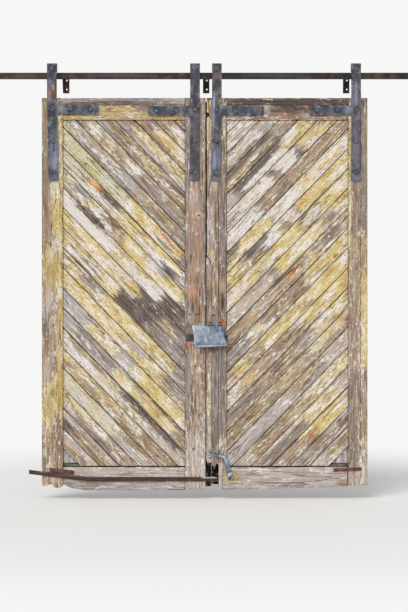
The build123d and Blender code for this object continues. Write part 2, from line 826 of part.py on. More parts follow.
def axles(straps):
    """Axle bolts through the wheels of one leaf, with domed heads in front of the straps."""
    places = [(strap_places[strap], wheel_level) for strap in straps]
    tip = leaf_face - yoke_gap - strap_thickness - nut_flange_height - nut_height - bolt_end
    seat = leaf_face + strap_thickness
    with BuildPart() as pins:
        with BuildSketch(front(tip)):
            with Locations(places):
                Circle(axle_diameter / 2)
        extrude(amount=seat - tip)
        with BuildSketch(front(seat)):
            with Locations(places):
                Circle(axle_head_diameter / 2)
        extrude(amount=axle_head_height)
        rims = pins.edges().filter_by(GeomType.CIRCLE).group_by(Axis.Y)[0]
        fillet(rims, axle_head_height * dome_share)
    return pins


for side in ("left", "right"):
    straps = [strap for strap in strap_places if strap.startswith(side)]
    places = [(strap_places[strap], wheel_level) for strap in straps]
    save(axles(straps), f"{side}_axle_bolts")
    save(flanged_nuts(places, leaf_face - yoke_gap - strap_thickness, axle_diameter, axle_diameter * 1.5,
                      axle_head_diameter), f"{side}_axle_nuts")

# Bolts and nuts that hold the hangers to the leaves
hanger_seat = leaf_face + strap_thickness
save(coach_bolts(left_bolts, hanger_seat, frame_back), "left_hanger_bolts")
save(flanged_nuts(left_bolts, frame_back), "left_hanger_nuts")
save(coach_bolts(right_bolts, hanger_seat, frame_back), "right_hanger_bolts")
save(flanged_nuts(right_bolts, frame_back), "right_hanger_nuts")


def lock_plate(side, reach, level, screws):
    """A flat bar on the leaf's edge with its end bent out to a lug; the lug has a padlock eye."""
    edge = side * (meeting_gap / 2 + lock_setback)
    end = side * reach
    outer = leaf_face + lock_plate_thickness + lug_length
    with BuildPart() as plate:
        with BuildSketch(Plane.XY.offset(level - lock_plate_height / 2)) as section:
            with BuildLine():
                Polyline(
                    (end, -leaf_face),
                    (edge, -leaf_face),
                    (edge, -outer),
                    (edge + side * lock_plate_thickness, -outer),
                    (edge + side * lock_plate_thickness, -leaf_face - lock_plate_thickness),
                    (end, -leaf_face - lock_plate_thickness),
                    close=True)
            make_face()
            bend = section.vertices().sort_by_distance((edge + side * lock_plate_thickness,
                                                        -leaf_face - lock_plate_thickness))[0]
            fillet(bend, lock_plate_bend)
        extrude(amount=lock_plate_height)
        tips = plate.edges().filter_by(Axis.X).group_by(Axis.Y)[0]
        fillet(tips, lug_length / 2)
        with BuildSketch(Plane.YZ.offset(min(edge, edge + side * lock_plate_thickness))):
            with Locations((-outer + lug_length / 2, eye_level)):
                Circle(eye_diameter / 2)
        extrude(amount=lock_plate_thickness, mode=Mode.SUBTRACT)
        drill(screws, screw_hole_diameter, leaf_face, lock_plate_thickness)
    return plate


save(lock_plate(-1, left_lock_reach, left_lock_level, left_lock_screws), "left_lock_plate")
save(lock_plate(1, right_lock_reach, right_lock_level, right_lock_screws), "right_lock_plate")

# Hood over the lock: a folded sheet that hangs a little crooked from its hinge
hood_corners = from_edge(0, eye_level, hood_outline)
hinge_axis_out = leaf_face + hinge_barrel_radius + hinge_barrel_gap
hinge_right = hinge_left + hinge_length
knuckle_third = hinge_length / 3


def hinge_barrel(left, right, radius, mode=Mode.ADD):
    """A round bar along the hood's hinge line, in the part that is open."""
    with BuildSketch(Plane.YZ.offset(left)) as circle:
        with Locations((-hinge_axis_out, hinge_axis_level)):
            Circle(radius)
    extrude(circle.sketch, amount=right - left, mode=mode)


knuckle_left = hinge_left + knuckle_third + hinge_knuckle_gap
knuckle_right = hinge_right - knuckle_third - hinge_knuckle_gap
top_left, top_right = hood_corners[0], hood_corners[1]
hood_far_left = min(x for x, z in hood_corners) - hood_sheet
hood_far_right = max(x for x, z in hood_corners) + hood_sheet
hood_far_low = min(z for x, z in hood_corners) - hood_sheet
under_top = [
    (top_left[0] - hood_sheet, top_left[1] - hood_sheet),
    (top_right[0] + hood_sheet, top_right[1] - hood_sheet),
    (hood_far_right, top_right[1] - hood_sheet),
    (hood_far_right, hood_far_low),
    (hood_far_left, hood_far_low),
    (hood_far_left, top_left[1] - hood_sheet),
]
with BuildPart() as lock_hood:
    block(hood_corners, leaf_face + hood_back_gap, hood_depth)
    with BuildSketch(front(leaf_face + hood_back_gap)):
        with BuildLine():
            Polyline(*hood_corners, close=True)
        make_face()
        offset(amount=-hood_sheet, kind=Kind.INTERSECTION)
    extrude(amount=hood_depth - hood_sheet, mode=Mode.SUBTRACT)
    block(under_top, leaf_face + hood_back_gap, hood_depth - hood_return, Mode.SUBTRACT)
    block(rectangle(knuckle_left, knuckle_right, top_right[1] + hood_sheet, hinge_axis_level),
          leaf_face + hood_back_gap, hinge_barrel_radius)
    hinge_barrel(knuckle_left, knuckle_right, hinge_barrel_radius)
    hinge_barrel(hinge_left, hinge_right, hinge_pin_radius + hinge_fit, Mode.SUBTRACT)
save(lock_hood, "lock_hood")

with BuildPart() as hood_hinge_plate:
    block(rectangle(hinge_left, hinge_right, hinge_axis_level + hinge_barrel_radius,
                    hinge_axis_level + hinge_barrel_radius + hinge_leaf_height),
          leaf_face, hinge_leaf_thickness)
    for left in (hinge_left, hinge_right - knuckle_third):
        hinge_barrel(left, left + knuckle_third, hinge_barrel_radius)
        block(rectangle(left, left + knuckle_third, hinge_axis_level, hinge_axis_level + hinge_barrel_radius),
              leaf_face, hinge_leaf_thickness)
    hinge_barrel(hinge_left, hinge_right, hinge_pin_radius + hinge_fit, Mode.SUBTRACT)
    drill(hinge_screws, screw_hole_diameter, leaf_face, hinge_leaf_thickness)
save(hood_hinge_plate, "hood_hinge_plate")

with BuildPart() as hood_hinge_pin:
    hinge_barrel(hinge_left - hinge_pin_proud, hinge_right + hinge_pin_proud, hinge_pin_radius)
save(hood_hinge_pin, "hood_hinge_pin")

# Pull handle: a bent pipe whose ends are hammered flat and screwed to the leaf
tab_middle = leaf_face + handle_tab_thickness / 2
pipe_out = leaf_face + handle_standoff + handle_diameter / 2
pipe_points = [(x, -pipe_out, z) for x, z in pipe_corners]


def flat_tab(screw, end):
    """The plane across a hammered end where the flat begins, and its length back past the screw."""
    run = Vector(end[0] - screw[0], 0, end[1] - screw[1])
    return Plane((end[0], -tab_middle, end[1]), x_dir=(0, -1, 0), z_dir=run.normalized()), run.length


with BuildPart() as pull_handle:
    with BuildLine() as pipe_path:
        FilletPolyline(*pipe_points, radius=handle_bend)
    with BuildSketch(Plane(pipe_points[0], z_dir=pipe_path.line % 0)):
        Circle(handle_diameter / 2)
    sweep()
    for tab_screw, tab_end, pipe_end, sense in ((handle_top_tab, handle_top_tab_end, 0, 1),
                                                (handle_low_tab, handle_low_tab_end, 1, -1)):
        tab_plane, tab_run = flat_tab(tab_screw, tab_end)
        with BuildSketch(tab_plane):
            RectangleRounded(handle_tab_thickness, handle_tab_width, handle_tab_thickness * tab_round_share)
        extrude(amount=-tab_run - handle_tab_width / 2)
        with BuildSketch(tab_plane):
            RectangleRounded(handle_tab_thickness, handle_tab_width, handle_tab_thickness * tab_round_share)
        with BuildSketch(Plane(pipe_path.line @ pipe_end, x_dir=(0, -1, 0),
                               z_dir=(pipe_path.line % pipe_end) * sense)):
            Circle(handle_diameter / 2)
        loft()
    drill([handle_top_tab, handle_low_tab], screw_hole_diameter, leaf_face, handle_tab_thickness)
save(pull_handle, "pull_handle")


# Rusty flat ironwork at the foot
def strip_outline(points, height):
    """Both edges of a strip of even height along a line that runs from left to right."""
    return [(x, z + height / 2) for x, z in points] + [(x, z - height / 2) for x, z in reversed(points)]


def flat_iron(points, height, thickness, screws):
    """A flat iron strip on the leaf's face with plain screw holes."""
    with BuildPart() as iron:
        block(strip_outline(points, height), leaf_face, thickness)
        drill(screws, screw_hole_diameter, leaf_face, thickness)
    return iron


save(flat_iron([bar_start, bar_knee, bar_finish], bar_height, bar_thickness, bar_bolts), "bottom_bar")
save(flat_iron(left_mending, left_mending_height, mending_plate_thickness, left_mending_screws),
     "left_mending_plate")
save(flat_iron(right_mending, right_mending_height, mending_plate_thickness, right_mending_screws),
     "right_mending_plate")


def wood_screws(groups):
    """Round-headed screws; each group gives its places and the thickness that it holds down."""
    with BuildPart() as screws:
        for places, held in groups:
            seat = leaf_face + held
            with BuildSketch(front(leaf_face - screw_length)):
                with Locations(places):
                    Circle(screw_shank_diameter / 2)
            extrude(amount=screw_length + held)
            with BuildSketch(front(seat)):
                with Locations(places):
                    Circle(screw_head_diameter / 2)
            extrude(amount=screw_head_height)
    return screws


save(wood_screws([(left_lock_screws, lock_plate_thickness), (left_mending_screws, mending_plate_thickness),
                  (bar_bolts, bar_thickness)]), "left_screws")
save(wood_screws([(right_lock_screws, lock_plate_thickness), (right_mending_screws, mending_plate_thickness),
                  (hinge_screws, hinge_leaf_thickness),
                  ([handle_top_tab, handle_low_tab], handle_tab_thickness)]), "right_screws")
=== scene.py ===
# %% [markdown]
# # An old pair of barn door leaves, dressed for a picture
#
# The construction of this door is already settled: two sliding leaves, their hangers, a flat rail, and
# small ironwork. Here every surface gets its looks. The leaves are weathered timber with remains of
# straw-coloured paint, so most of the lesson is about wood: how a board wears, and where its paint has
# stayed.

# %% Load the finished construction
import math
import random

import bmesh
import bpy
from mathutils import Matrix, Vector, noise


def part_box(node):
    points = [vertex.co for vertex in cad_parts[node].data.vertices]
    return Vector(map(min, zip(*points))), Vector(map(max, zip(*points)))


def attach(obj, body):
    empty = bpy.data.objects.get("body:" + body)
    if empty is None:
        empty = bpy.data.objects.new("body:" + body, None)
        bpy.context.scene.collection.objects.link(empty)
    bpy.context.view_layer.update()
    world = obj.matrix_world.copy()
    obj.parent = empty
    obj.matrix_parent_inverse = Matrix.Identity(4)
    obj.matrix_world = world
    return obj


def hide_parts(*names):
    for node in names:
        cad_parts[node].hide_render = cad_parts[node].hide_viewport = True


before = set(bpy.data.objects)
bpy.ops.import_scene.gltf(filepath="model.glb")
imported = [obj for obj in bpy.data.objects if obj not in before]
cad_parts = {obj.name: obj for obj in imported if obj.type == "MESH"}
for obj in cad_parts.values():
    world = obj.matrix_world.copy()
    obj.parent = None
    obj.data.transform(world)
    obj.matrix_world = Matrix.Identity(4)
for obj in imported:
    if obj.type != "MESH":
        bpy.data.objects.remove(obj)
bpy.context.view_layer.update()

# %% [markdown]
# ## Measures
#
# Everything is placed from the boxes of the real pieces. Only a few sizes of the boards are written here,
# because a box can't tell how far one board covers the next. Millimetres are easier to think in than
# metres, so a small helper turns them over. The last measure is a distance that no piece reaches.

# %% Measures that the pieces share
def mm(value):
    """Millimetres as metres."""
    return value / 1000


leaf_face = mm(100)
frame_back = mm(50)
board_back = mm(70)
board_thickness = mm(22)
frame_thickness = leaf_face - frame_back
far_off = 9.0
left_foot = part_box("left_bottom_rail")[0].z
leaf_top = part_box("left_meeting_stile")[1].z
print("leaf height in metres:", round(leaf_top - left_foot, 3))

# %% [markdown]
# ## Camera
#
# The picture looks straight at the door from far away, so upright lines stay upright. A camera without any
# perspective would come close, but it would hide the sides of the timbers altogether. A long lens from 14 m
# gives the same calm view as the picture has. One picture pixel is 7.7 mm at the face of the leaves.

# %% Set the camera straight in front
picture_pixel = mm(7.7)
picture_width, picture_height = 408, 612
meeting_column, rail_row = 206.2, 75.7
camera_distance, camera_reach = 14.0, 60


def from_picture(column, row):
    """The place on the door, X and Z in metres, that a picture pixel shows."""
    return (column - meeting_column) * picture_pixel, (rail_row - row) * picture_pixel


view_x, view_z = from_picture(picture_width / 2, picture_height / 2)
camera_data = bpy.data.cameras.new("camera")
camera_data.sensor_fit = "VERTICAL"
camera_data.sensor_height = 24
camera_data.lens = camera_data.sensor_height * camera_distance / (picture_height * picture_pixel)
camera_data.clip_end = camera_reach
camera = bpy.data.objects.new("camera", camera_data)
camera.location = (view_x, -leaf_face - camera_distance, view_z)
camera.rotation_euler = (math.radians(90), 0, 0)
bpy.context.scene.collection.objects.link(camera)
bpy.context.scene.camera = camera
bpy.context.scene.view_settings.view_transform = "Standard"
print("lens in millimetres:", round(camera_data.lens, 1))

# %% [markdown]
# ## A kit for materials
#
# Every finish below is a small web of nodes. The nodes could be joined by hand in the shader editor, or
# written out in full, but then the idea hides behind long lines. This kit adds one node per call and hands
# back its output, so a finish reads like a recipe. It also serves the world, whose light is a web of nodes
# too.

# %% A helper that grows a material node by node
def tint(red, green, blue):
    """A colour given in the usual 0 to 255 steps, as the linear light that Blender works in."""
    steps = [value / 255 for value in (red, green, blue)]
    linear = [s / 12.92 if s <= 0.04045 else ((s + 0.055) / 1.055) ** 2.4 for s in steps]
    return (*linear, 1.0)


class Finish:
    """The nodes of a material or of a world. Each method adds a node and returns its output."""

    def __init__(self, name, holder=None):
        self.material = holder or bpy.data.materials.new(name)
        self.material.use_nodes = True
        self.tree = self.material.node_tree
        self.tree.nodes.clear()

    def node(self, kind, inputs, output=0, **settings):
        made = self.tree.nodes.new(kind)
        for key, value in settings.items():
            setattr(made, key, value)
        for key, value in inputs.items():
            if isinstance(value, bpy.types.NodeSocket):
                self.tree.links.new(value, made.inputs[key])
            else:
                made.inputs[key].default_value = value
        return made.outputs[output]

    def read(self, attribute, output="Vector"):
        return self.node("ShaderNodeAttribute", {}, output, attribute_name=attribute)

    def places(self):
        return self.node("ShaderNodeTexCoord", {}, "Object")

    def parts(self, vector):
        split = self.node("ShaderNodeSeparateXYZ", {"Vector": vector}).node
        return split.outputs["X"], split.outputs["Y"], split.outputs["Z"]

    def stretch(self, vector, across):
        return self.node("ShaderNodeVectorMath", {0: vector, 1: across}, operation="MULTIPLY")

    def shift(self, vector, by):
        return self.node("ShaderNodeVectorMath", {0: vector, 1: by}, operation="ADD")

    def clouds(self, vector, scale=1.0, detail=5.0, roughness=0.6):
        settings = {"Vector": vector, "Scale": scale, "Detail": detail, "Roughness": roughness}
        return self.node("ShaderNodeTexNoise", settings)

    def maths(self, operation, first, second=0.0, clamp=False):
        return self.node("ShaderNodeMath", {0: first, 1: second}, operation=operation, use_clamp=clamp)

    def plus(self, first, second, clamp=False):
        return self.maths("ADD", first, second, clamp)

    def minus(self, first, second):
        return self.maths("SUBTRACT", first, second)

    def times(self, first, second):
        return self.maths("MULTIPLY", first, second)

    def spread(self, value, low, high):
        """Stretches the range from low to high out to 0 to 1."""
        return self.node("ShaderNodeMapRange", {"Value": value, "From Min": low, "From Max": high})

    def step(self, value, low, high):
        """0 at low, 1 at high, and a smooth rise between them; low may be the larger one."""
        return self.node("ShaderNodeMapRange", {"Value": value, "From Min": low, "From Max": high},
                         interpolation_type="SMOOTHSTEP")

    def ramp(self, value, *stops):
        made = self.node("ShaderNodeValToRGB", {"Fac": value}).node
        ladder = made.color_ramp.elements
        while len(ladder) < len(stops):
            ladder.new(0.5)
        for rung, (place, colour) in zip(ladder, stops):
            rung.position = place
            rung.color = colour
        return made.outputs["Color"]

    def mix(self, amount, first, second, blend="MIX"):
        """Mixes two colours; the sockets are numbered because a Mix node has several with the same name."""
        return self.node("ShaderNodeMix", {0: amount, 6: first, 7: second}, 2, data_type="RGBA",
                         blend_type=blend)

    def end(self, shader, kind="ShaderNodeOutputMaterial"):
        output = self.tree.nodes.new(kind)
        self.tree.links.new(shader, output.inputs["Surface"])
        return self.material

    def surface(self, colour, roughness, height=None, relief=0.001, metallic=0.0, specular=0.4):
        """Ends the recipe with a surface; height is turned into bumps up to relief metres deep."""
        inputs = {"Base Color": colour, "Roughness": roughness, "Metallic": metallic,
                  "Specular IOR Level": specular}
        if height is not None:
            inputs["Normal"] = self.node("ShaderNodeBump", {"Height": height, "Distance": relief,
                                                            "Strength": 1.0})
        return self.end(self.node("ShaderNodeBsdfPrincipled", inputs))


print("ways to add a node:", len([word for word in vars(Finish) if not word.startswith("_")]))

# %% [markdown]
# ## Floor and light
#
# The door is shown as in a studio: a pale floor that keeps the soft shadow, a pale surround, and one broad
# light from the upper left with plenty of light from all round. The level is chosen so that a colour comes
# out about as it is written. A surround that is bright enough to look pale would light the door too much,
# so the Light Path node sets apart what is seen and what gives light. Far away the floor fades into the
# surround, so no horizon shows.

# %% Light the door softly
surround, floor_colour = (0.93, 0.93, 0.925, 1.0), (0.82, 0.82, 0.815, 1)
white_light = (1, 1, 1, 1)
surround_light, sun_strength = 0.62, 1.75
sun_breadth, sun_tilt, sun_turn = math.radians(35), math.radians(48), math.radians(-24)

world = bpy.data.worlds.new("studio")
bpy.context.scene.world = world
sky = Finish("studio", world)
ray = sky.node("ShaderNodeLightPath", {}).node.outputs
seen = sky.maths("MAXIMUM", sky.maths("MAXIMUM", ray["Is Camera Ray"], ray["Is Glossy Ray"]),
                 ray["Is Transmission Ray"])
shown = sky.node("ShaderNodeBackground", {"Color": surround})
lighting = sky.node("ShaderNodeBackground", {"Color": white_light, "Strength": surround_light})
sky.end(sky.node("ShaderNodeMixShader", {0: seen, 1: lighting, 2: shown}), "ShaderNodeOutputWorld")

sun_data = bpy.data.lights.new("key_light", "SUN")
sun_data.energy = sun_strength
sun_data.angle = sun_breadth
sun = bpy.data.objects.new("key_light", sun_data)
sun.rotation_euler = (sun_tilt, 0, sun_turn)
bpy.context.scene.collection.objects.link(sun)
print("light of the sun and of the surround:", sun_strength, surround_light)

# %% [markdown]
# The floor could end in a curved backdrop, as in a real studio. A flat one that fades out is simpler, and
# it looks the same from every side of the door.

# %% Lay the floor
ground_gap = mm(70)
floor_size = 60
fade_start, fade_end = 2.5, 6.0


def floor_finish():
    """Pale near the door, and fading into the surround far away."""
    mixing = Finish("floor")
    x, y, z = mixing.parts(mixing.places())
    away = mixing.maths("SQRT", mixing.plus(mixing.maths("POWER", x, 2), mixing.maths("POWER", y, 2)))
    far = mixing.step(away, fade_start, fade_end)
    plain = mixing.node("ShaderNodeBsdfDiffuse", {"Color": floor_colour})
    lit = mixing.node("ShaderNodeEmission", {"Color": surround})
    ray = mixing.node("ShaderNodeLightPath", {}).node.outputs
    seen_far = mixing.times(far, mixing.maths("MAXIMUM", ray["Is Camera Ray"], ray["Is Glossy Ray"]))
    return mixing.end(mixing.node("ShaderNodeMixShader", {0: seen_far, 1: plain, 2: lit}))


bpy.ops.mesh.primitive_plane_add(size=floor_size, location=(0, 0, left_foot - ground_gap))
floor = bpy.context.object
floor.name = "floor"
floor.data.materials.append(floor_finish())
print("floor level:", round(floor.location.z, 3))

# %% [markdown]
# ## Weathered timber
#
# Sun and frost turn bare wood grey, lift its fibres and open long cracks. Paint holds on in small flakes: a
# straw-coloured top coat over a chalky white one. An image could be laid on each board, but it would go
# soft close by and repeat itself. So one recipe of noise covers all the timber. It reads what each piece
# carries in its mesh: where a point lies along the grain, how much of each coat is left, the tone of the
# bare wood, and how far the nearest edge is. The start is a set of noise patterns that all run with the
# grain, from drifts as long as an arm down to specks of a few millimetres.

# %% Patterns that follow the grain
grain_patterns = {
    "drifts": (2.2, 7, 3, 0.55),
    "wash": (5, 15, 4, 0.55),
    "islands": (6.5, 24, 5, 0.6),
    "flakes": (20, 64, 4, 0.6),
    "specks": (55, 190, 2, 0.55),
    "fibres": (7, 58, 5, 0.66),
    "lines": (3.2, 150, 3, 0.6),
}  # each: how tight along the grain and across it, detail, roughness
pattern_low, pattern_high = 0.34, 0.66


def even_clouds(mixing, vector, scale=1.0, detail=5.0, roughness=0.6):
    """Noise that is spread to fill 0 to 1."""
    return mixing.spread(mixing.clouds(vector, scale, detail, roughness), pattern_low, pattern_high)


def follow_grain(mixing, grain):
    """Noise patterns by name, each drawn out along the grain."""
    patterns = {}
    for number, (name, (along, across, detail, roughness)) in enumerate(grain_patterns.items()):
        moved = mixing.shift(grain, (number * 3.1, number * 1.7, 0))
        stretched = mixing.stretch(moved, (along, across, across))
        patterns[name] = even_clouds(mixing, stretched, 1.0, detail, roughness)
    return patterns


def blend_of(mixing, patterns, **shares):
    """A weighted sum of some patterns, which again lies between 0 and 1."""
    total = None
    for name, share in shares.items():
        part = mixing.times(patterns[name], share)
        total = part if total is None else mixing.plus(total, part)
    return total


print("patterns:", ", ".join(grain_patterns))

# %% [markdown]
# Bare wood is a mixture of a cold grey and a warm brown. Both come from the fibre pattern, so the light and
# dark streaks stay in place while their colour drifts along the board. A coat covers the wood where a
# pattern rises above a threshold. Mixing wood and coat by halves would give a stain, while a threshold
# gives flakes.

# %% Bare wood and the coats on it
def bare_wood(mixing, patterns, warmth, paleness):
    cold = mixing.ramp(patterns["fibres"], (0.0, tint(104, 96, 95)), (0.5, tint(150, 142, 139)),
                       (1.0, tint(194, 189, 188)))
    warm = mixing.ramp(patterns["fibres"], (0.0, tint(104, 82, 68)), (0.5, tint(158, 133, 115)),
                       (1.0, tint(204, 183, 164)))
    drift = mixing.times(mixing.minus(patterns["drifts"], 0.5), 0.6)
    colour = mixing.mix(mixing.plus(warmth, drift, clamp=True), cold, warm)
    shade = mixing.ramp(paleness, (0.0, (0.55, 0.53, 0.52, 1)), (0.5, (1, 1, 1, 1)),
                        (1.0, (1.42, 1.41, 1.4, 1)))
    colour = mixing.mix(1.0, colour, shade, "MULTIPLY")
    bleached = mixing.times(mixing.step(paleness, 0.62, 1.0), 0.55)
    colour = mixing.mix(bleached, colour, mixing.mix(warmth, tint(190, 184, 184), tint(200, 182, 160)))
    dark_lines = mixing.times(mixing.step(patterns["lines"], 0.55, 0.9), 0.5)
    return mixing.mix(dark_lines, colour, tint(92, 78, 68))


def left_where(mixing, amount, pattern, soft=0.1, bare_edge=0.75, reach=0.5):
    """Where a coat is left: high amounts leave most of it, low ones only its toughest flakes."""
    edge = mixing.minus(bare_edge, mixing.times(amount, reach))
    return mixing.maths("DIVIDE", mixing.minus(pattern, edge), soft, clamp=True)


def lay_coat(mixing, colour, cover_share, coat, strength, veil=0.0):
    """Mixes a coat over a colour. A thin veil of it may stay in the pores between its flakes."""
    return mixing.mix(mixing.maths("MAXIMUM", mixing.times(cover_share, strength), veil), colour, coat)


print("bare wood is cold or warm, and a coat is left where a pattern is high")

# %% [markdown]
# The straw paint isn't one colour either. Where it is thick it is a deep straw, where it has washed out it
# turns cream and lilac white, and on cold, shaded wood it goes a little green. The coats lie in the order
# in which they came: dark stripped wood lowest, then chalk, then straw, and last the rust that ran over
# them. They also give back how thick they are, because a flake of paint stands a little above the wood.

# %% Paint, chalk, dark wood and rust
def straw_paint(mixing, patterns, warmth, paleness):
    tone = blend_of(mixing, patterns, wash=0.3, islands=0.35, flakes=0.15, specks=0.2)
    tone = mixing.plus(tone, mixing.times(mixing.minus(paleness, 0.66), 0.4))
    straw = mixing.ramp(tone, (0.22, tint(200, 167, 92)), (0.42, tint(217, 193, 126)),
                        (0.56, tint(228, 212, 166)), (0.70, tint(234, 228, 226)))
    green = mixing.ramp(tone, (0.25, tint(190, 174, 112)), (0.55, tint(212, 202, 162)),
                        (0.8, tint(206, 202, 204)))
    return mixing.mix(mixing.step(warmth, 0.42, 0.22), straw, green)


def weather_coats(mixing, patterns, colour, coats, tone):
    """Lays dark stripped wood, chalk, straw paint and rust over bare wood; gives colour and thickness."""
    paint_left, chalk_left, soot = coats
    warmth, paleness, rust = tone
    in_dark = blend_of(mixing, patterns, islands=0.3, flakes=0.3, fibres=0.4)
    dark_share = left_where(mixing, soot, in_dark, 0.2)
    dark_wood = mixing.ramp(patterns["fibres"], (0.1, tint(62, 53, 50)), (0.9, tint(134, 121, 114)))
    colour = lay_coat(mixing, colour, dark_share, dark_wood, 0.9)
    in_chalk = blend_of(mixing, patterns, islands=0.3, flakes=0.5, fibres=0.2)
    chalk_share = left_where(mixing, chalk_left, in_chalk)
    chalk = mixing.ramp(blend_of(mixing, patterns, wash=0.6, flakes=0.4), (0.25, tint(212, 200, 182)),
                        (0.5, tint(228, 220, 208)), (0.75, tint(238, 234, 236)))
    colour = lay_coat(mixing, colour, chalk_share, chalk, 0.86, mixing.times(chalk_left, 0.25))
    in_straw = blend_of(mixing, patterns, islands=0.25, flakes=0.45, specks=0.3)
    paint_share = left_where(mixing, paint_left, in_straw, 0.12, 0.72)
    straw = straw_paint(mixing, patterns, warmth, paleness)
    colour = lay_coat(mixing, colour, paint_share, straw, 0.88, mixing.times(paint_left, 0.36))
    in_rust = blend_of(mixing, patterns, flakes=0.5, fibres=0.5)
    rust_share = left_where(mixing, rust, in_rust, 0.2, 0.86, 0.62)
    rusty = mixing.ramp(in_rust, (0.3, tint(104, 66, 46)), (0.5, tint(188, 112, 62)),
                        (0.68, tint(236, 166, 104)))
    colour = lay_coat(mixing, colour, rust_share, rusty, 0.9)
    thickness = mixing.plus(mixing.times(paint_share, 0.3), mixing.times(chalk_share, 0.2))
    return colour, paint_share, thickness


print("coats: dark wood, chalk, straw paint and rust")

# %% [markdown]
# Age also opens cracks along the grain, knots turn dark, and dirt gathers in every joint. Cracks could be
# cut into the mesh, but there are hundreds of them, each thinner than a millimetre. Here a crack follows
# the line where a stretched noise crosses its middle value. The joints use the distance to the nearest
# edge, so a dark line of a few millimetres, dirt and painted shade together, runs round each board, and a
# patchy band of painted highlight lies just beside it.

# %% Cracks, knots, and joints with dirt, painted shade and a painted highlight
# The dark joint colour and the brown within 20 mm of an edge are dirt and painted shade; the pale colour is
# a painted highlight just beside the joint.
crack_dark, joint_dark = tint(50, 41, 35), tint(62, 52, 46)
grime_and_shade_brown, painted_highlight_pale = tint(112, 96, 84), tint(222, 210, 192)
crack_thinnest, crack_growth = 0.003, 0.03
joint_core, joint_reach, joint_wander = mm(1.2), mm(3.9), mm(3.5)
grime_and_shade_reach = mm(20)


def cracks_of(mixing, patterns, grain):
    """1 in a crack and 0 outside it."""
    bends = mixing.clouds(mixing.stretch(mixing.shift(grain, (1.3, 8.8, 0)), (1.7, 34, 34)), detail=2.5,
                          roughness=0.45)
    from_crack = mixing.maths("ABSOLUTE", mixing.minus(bends, 0.5))
    width = mixing.times(mixing.step(patterns["drifts"], 0.4, 0.9), crack_growth)
    share = mixing.maths("DIVIDE", from_crack, mixing.plus(width, crack_thinnest), clamp=True)
    return mixing.minus(1.0, share)


def knots_of(mixing, grain):
    """Small dark ovals, far apart."""
    stretched = mixing.stretch(grain, (3.2, 7.5, 7.5))
    cells = mixing.node("ShaderNodeTexVoronoi", {"Vector": stretched, "Scale": 1.0}).node
    near = mixing.step(cells.outputs["Distance"], 0.11, 0.05)
    chosen = mixing.step(mixing.parts(cells.outputs["Color"])[0], 0.5, 0.55)
    return mixing.times(near, chosen)


def joint_dirt_and_shade(mixing, patterns, colour, from_edge):
    """Darkens a colour towards the nearest edge with dirt and painted shade, and lays a painted highlight
    beside the joint.
    """
    wander = mixing.times(mixing.minus(patterns["flakes"], 0.5), joint_wander)
    place = mixing.plus(from_edge, wander)
    grime_and_shade = mixing.times(mixing.step(place, grime_and_shade_reach, 0.0), mixing.step(patterns["wash"], 0.3, 0.8))
    colour = mixing.mix(mixing.times(grime_and_shade, 0.3), colour, grime_and_shade_brown)
    # A patchy pale band just beside the joint: a painted highlight.
    pale = mixing.times(mixing.step(place, joint_reach, joint_reach + mm(1)),
                        mixing.step(place, joint_reach + mm(5), joint_reach + mm(2)))
    pale = mixing.times(pale, mixing.step(patterns["islands"], 0.55, 0.75))
    colour = mixing.mix(mixing.times(pale, 0.55), colour, painted_highlight_pale)
    depth = mixing.ramp(patterns["wash"], (0.2, (0.92, 0.92, 0.92, 1)), (0.75, (0.42, 0.42, 0.42, 1)))
    joint = mixing.times(mixing.step(place, joint_reach, joint_core), depth)
    return mixing.mix(joint, colour, joint_dark)


print("a joint's dark line reaches", round(joint_reach * 1000, 1), "mm from the edge")

# %% [markdown]
# Some marks are listed one by one: a stain, a worn weld, a painted highlight on a fold. They could be
# painted on with a brush, but then nobody could read or change them later. Each is a soft oval of another
# colour whose outline is disturbed by noise. Its place is given in picture pixels, which are easy to read
# off. A Mapping node of the Texture kind moves, turns and scales space so that the oval becomes a ball of
# radius 1.

# %% Patches placed one by one
near_reach = mm(14)


def lay_patch(mixing, base, position, pattern, column, row, half_width, half_height, colour, strength=0.8,
              lean=0, ragged=2.2, near=None):
    """Lays a soft oval of a colour over a base, placed by picture pixels.

    It goes right through the piece, unless near keeps it close to one distance out from the wall. lean turns
    it clockwise by some degrees, and ragged is how far a pattern from 0 to 1 disturbs its outline.
    """
    x, z = from_picture(column, row)
    reach = (half_width * picture_pixel, near_reach if near else far_off, half_height * picture_pixel)
    away = mixing.node("ShaderNodeMapping", {"Vector": position, "Location": (x, -near if near else 0, z),
                                             "Rotation": (0, math.radians(lean), 0), "Scale": reach},
                       vector_type="TEXTURE")
    away = mixing.node("ShaderNodeVectorMath", {0: away}, 1, operation="LENGTH")
    away = mixing.plus(away, mixing.times(mixing.minus(pattern, 0.5), ragged))
    return mixing.mix(mixing.times(mixing.step(away, 1.3, 0.5), strength), base, colour)


def lay_patches(mixing, colour, position, pattern, patches):
    """Lays patches over a colour; each is a row of values in the order that lay_patch takes them."""
    for patch in patches:
        colour = lay_patch(mixing, colour, position, pattern, *patch)
    return colour


print("a patch's outline fades between 0.5 and 1.3 of its size")

# %% [markdown]
# Now the parts of the recipe are put together. What each piece carries in its mesh comes in through
# Attribute nodes. A finish of its own for every board would do the same, but it would take forty materials,
# while attributes let one material look different on each board. Plain pieces without attributes get a
# single word for their state, and their grain runs along X or Z.

# %% Mix the weathered timber
nail_rust, knot_brown = tint(112, 78, 58), tint(118, 70, 48)


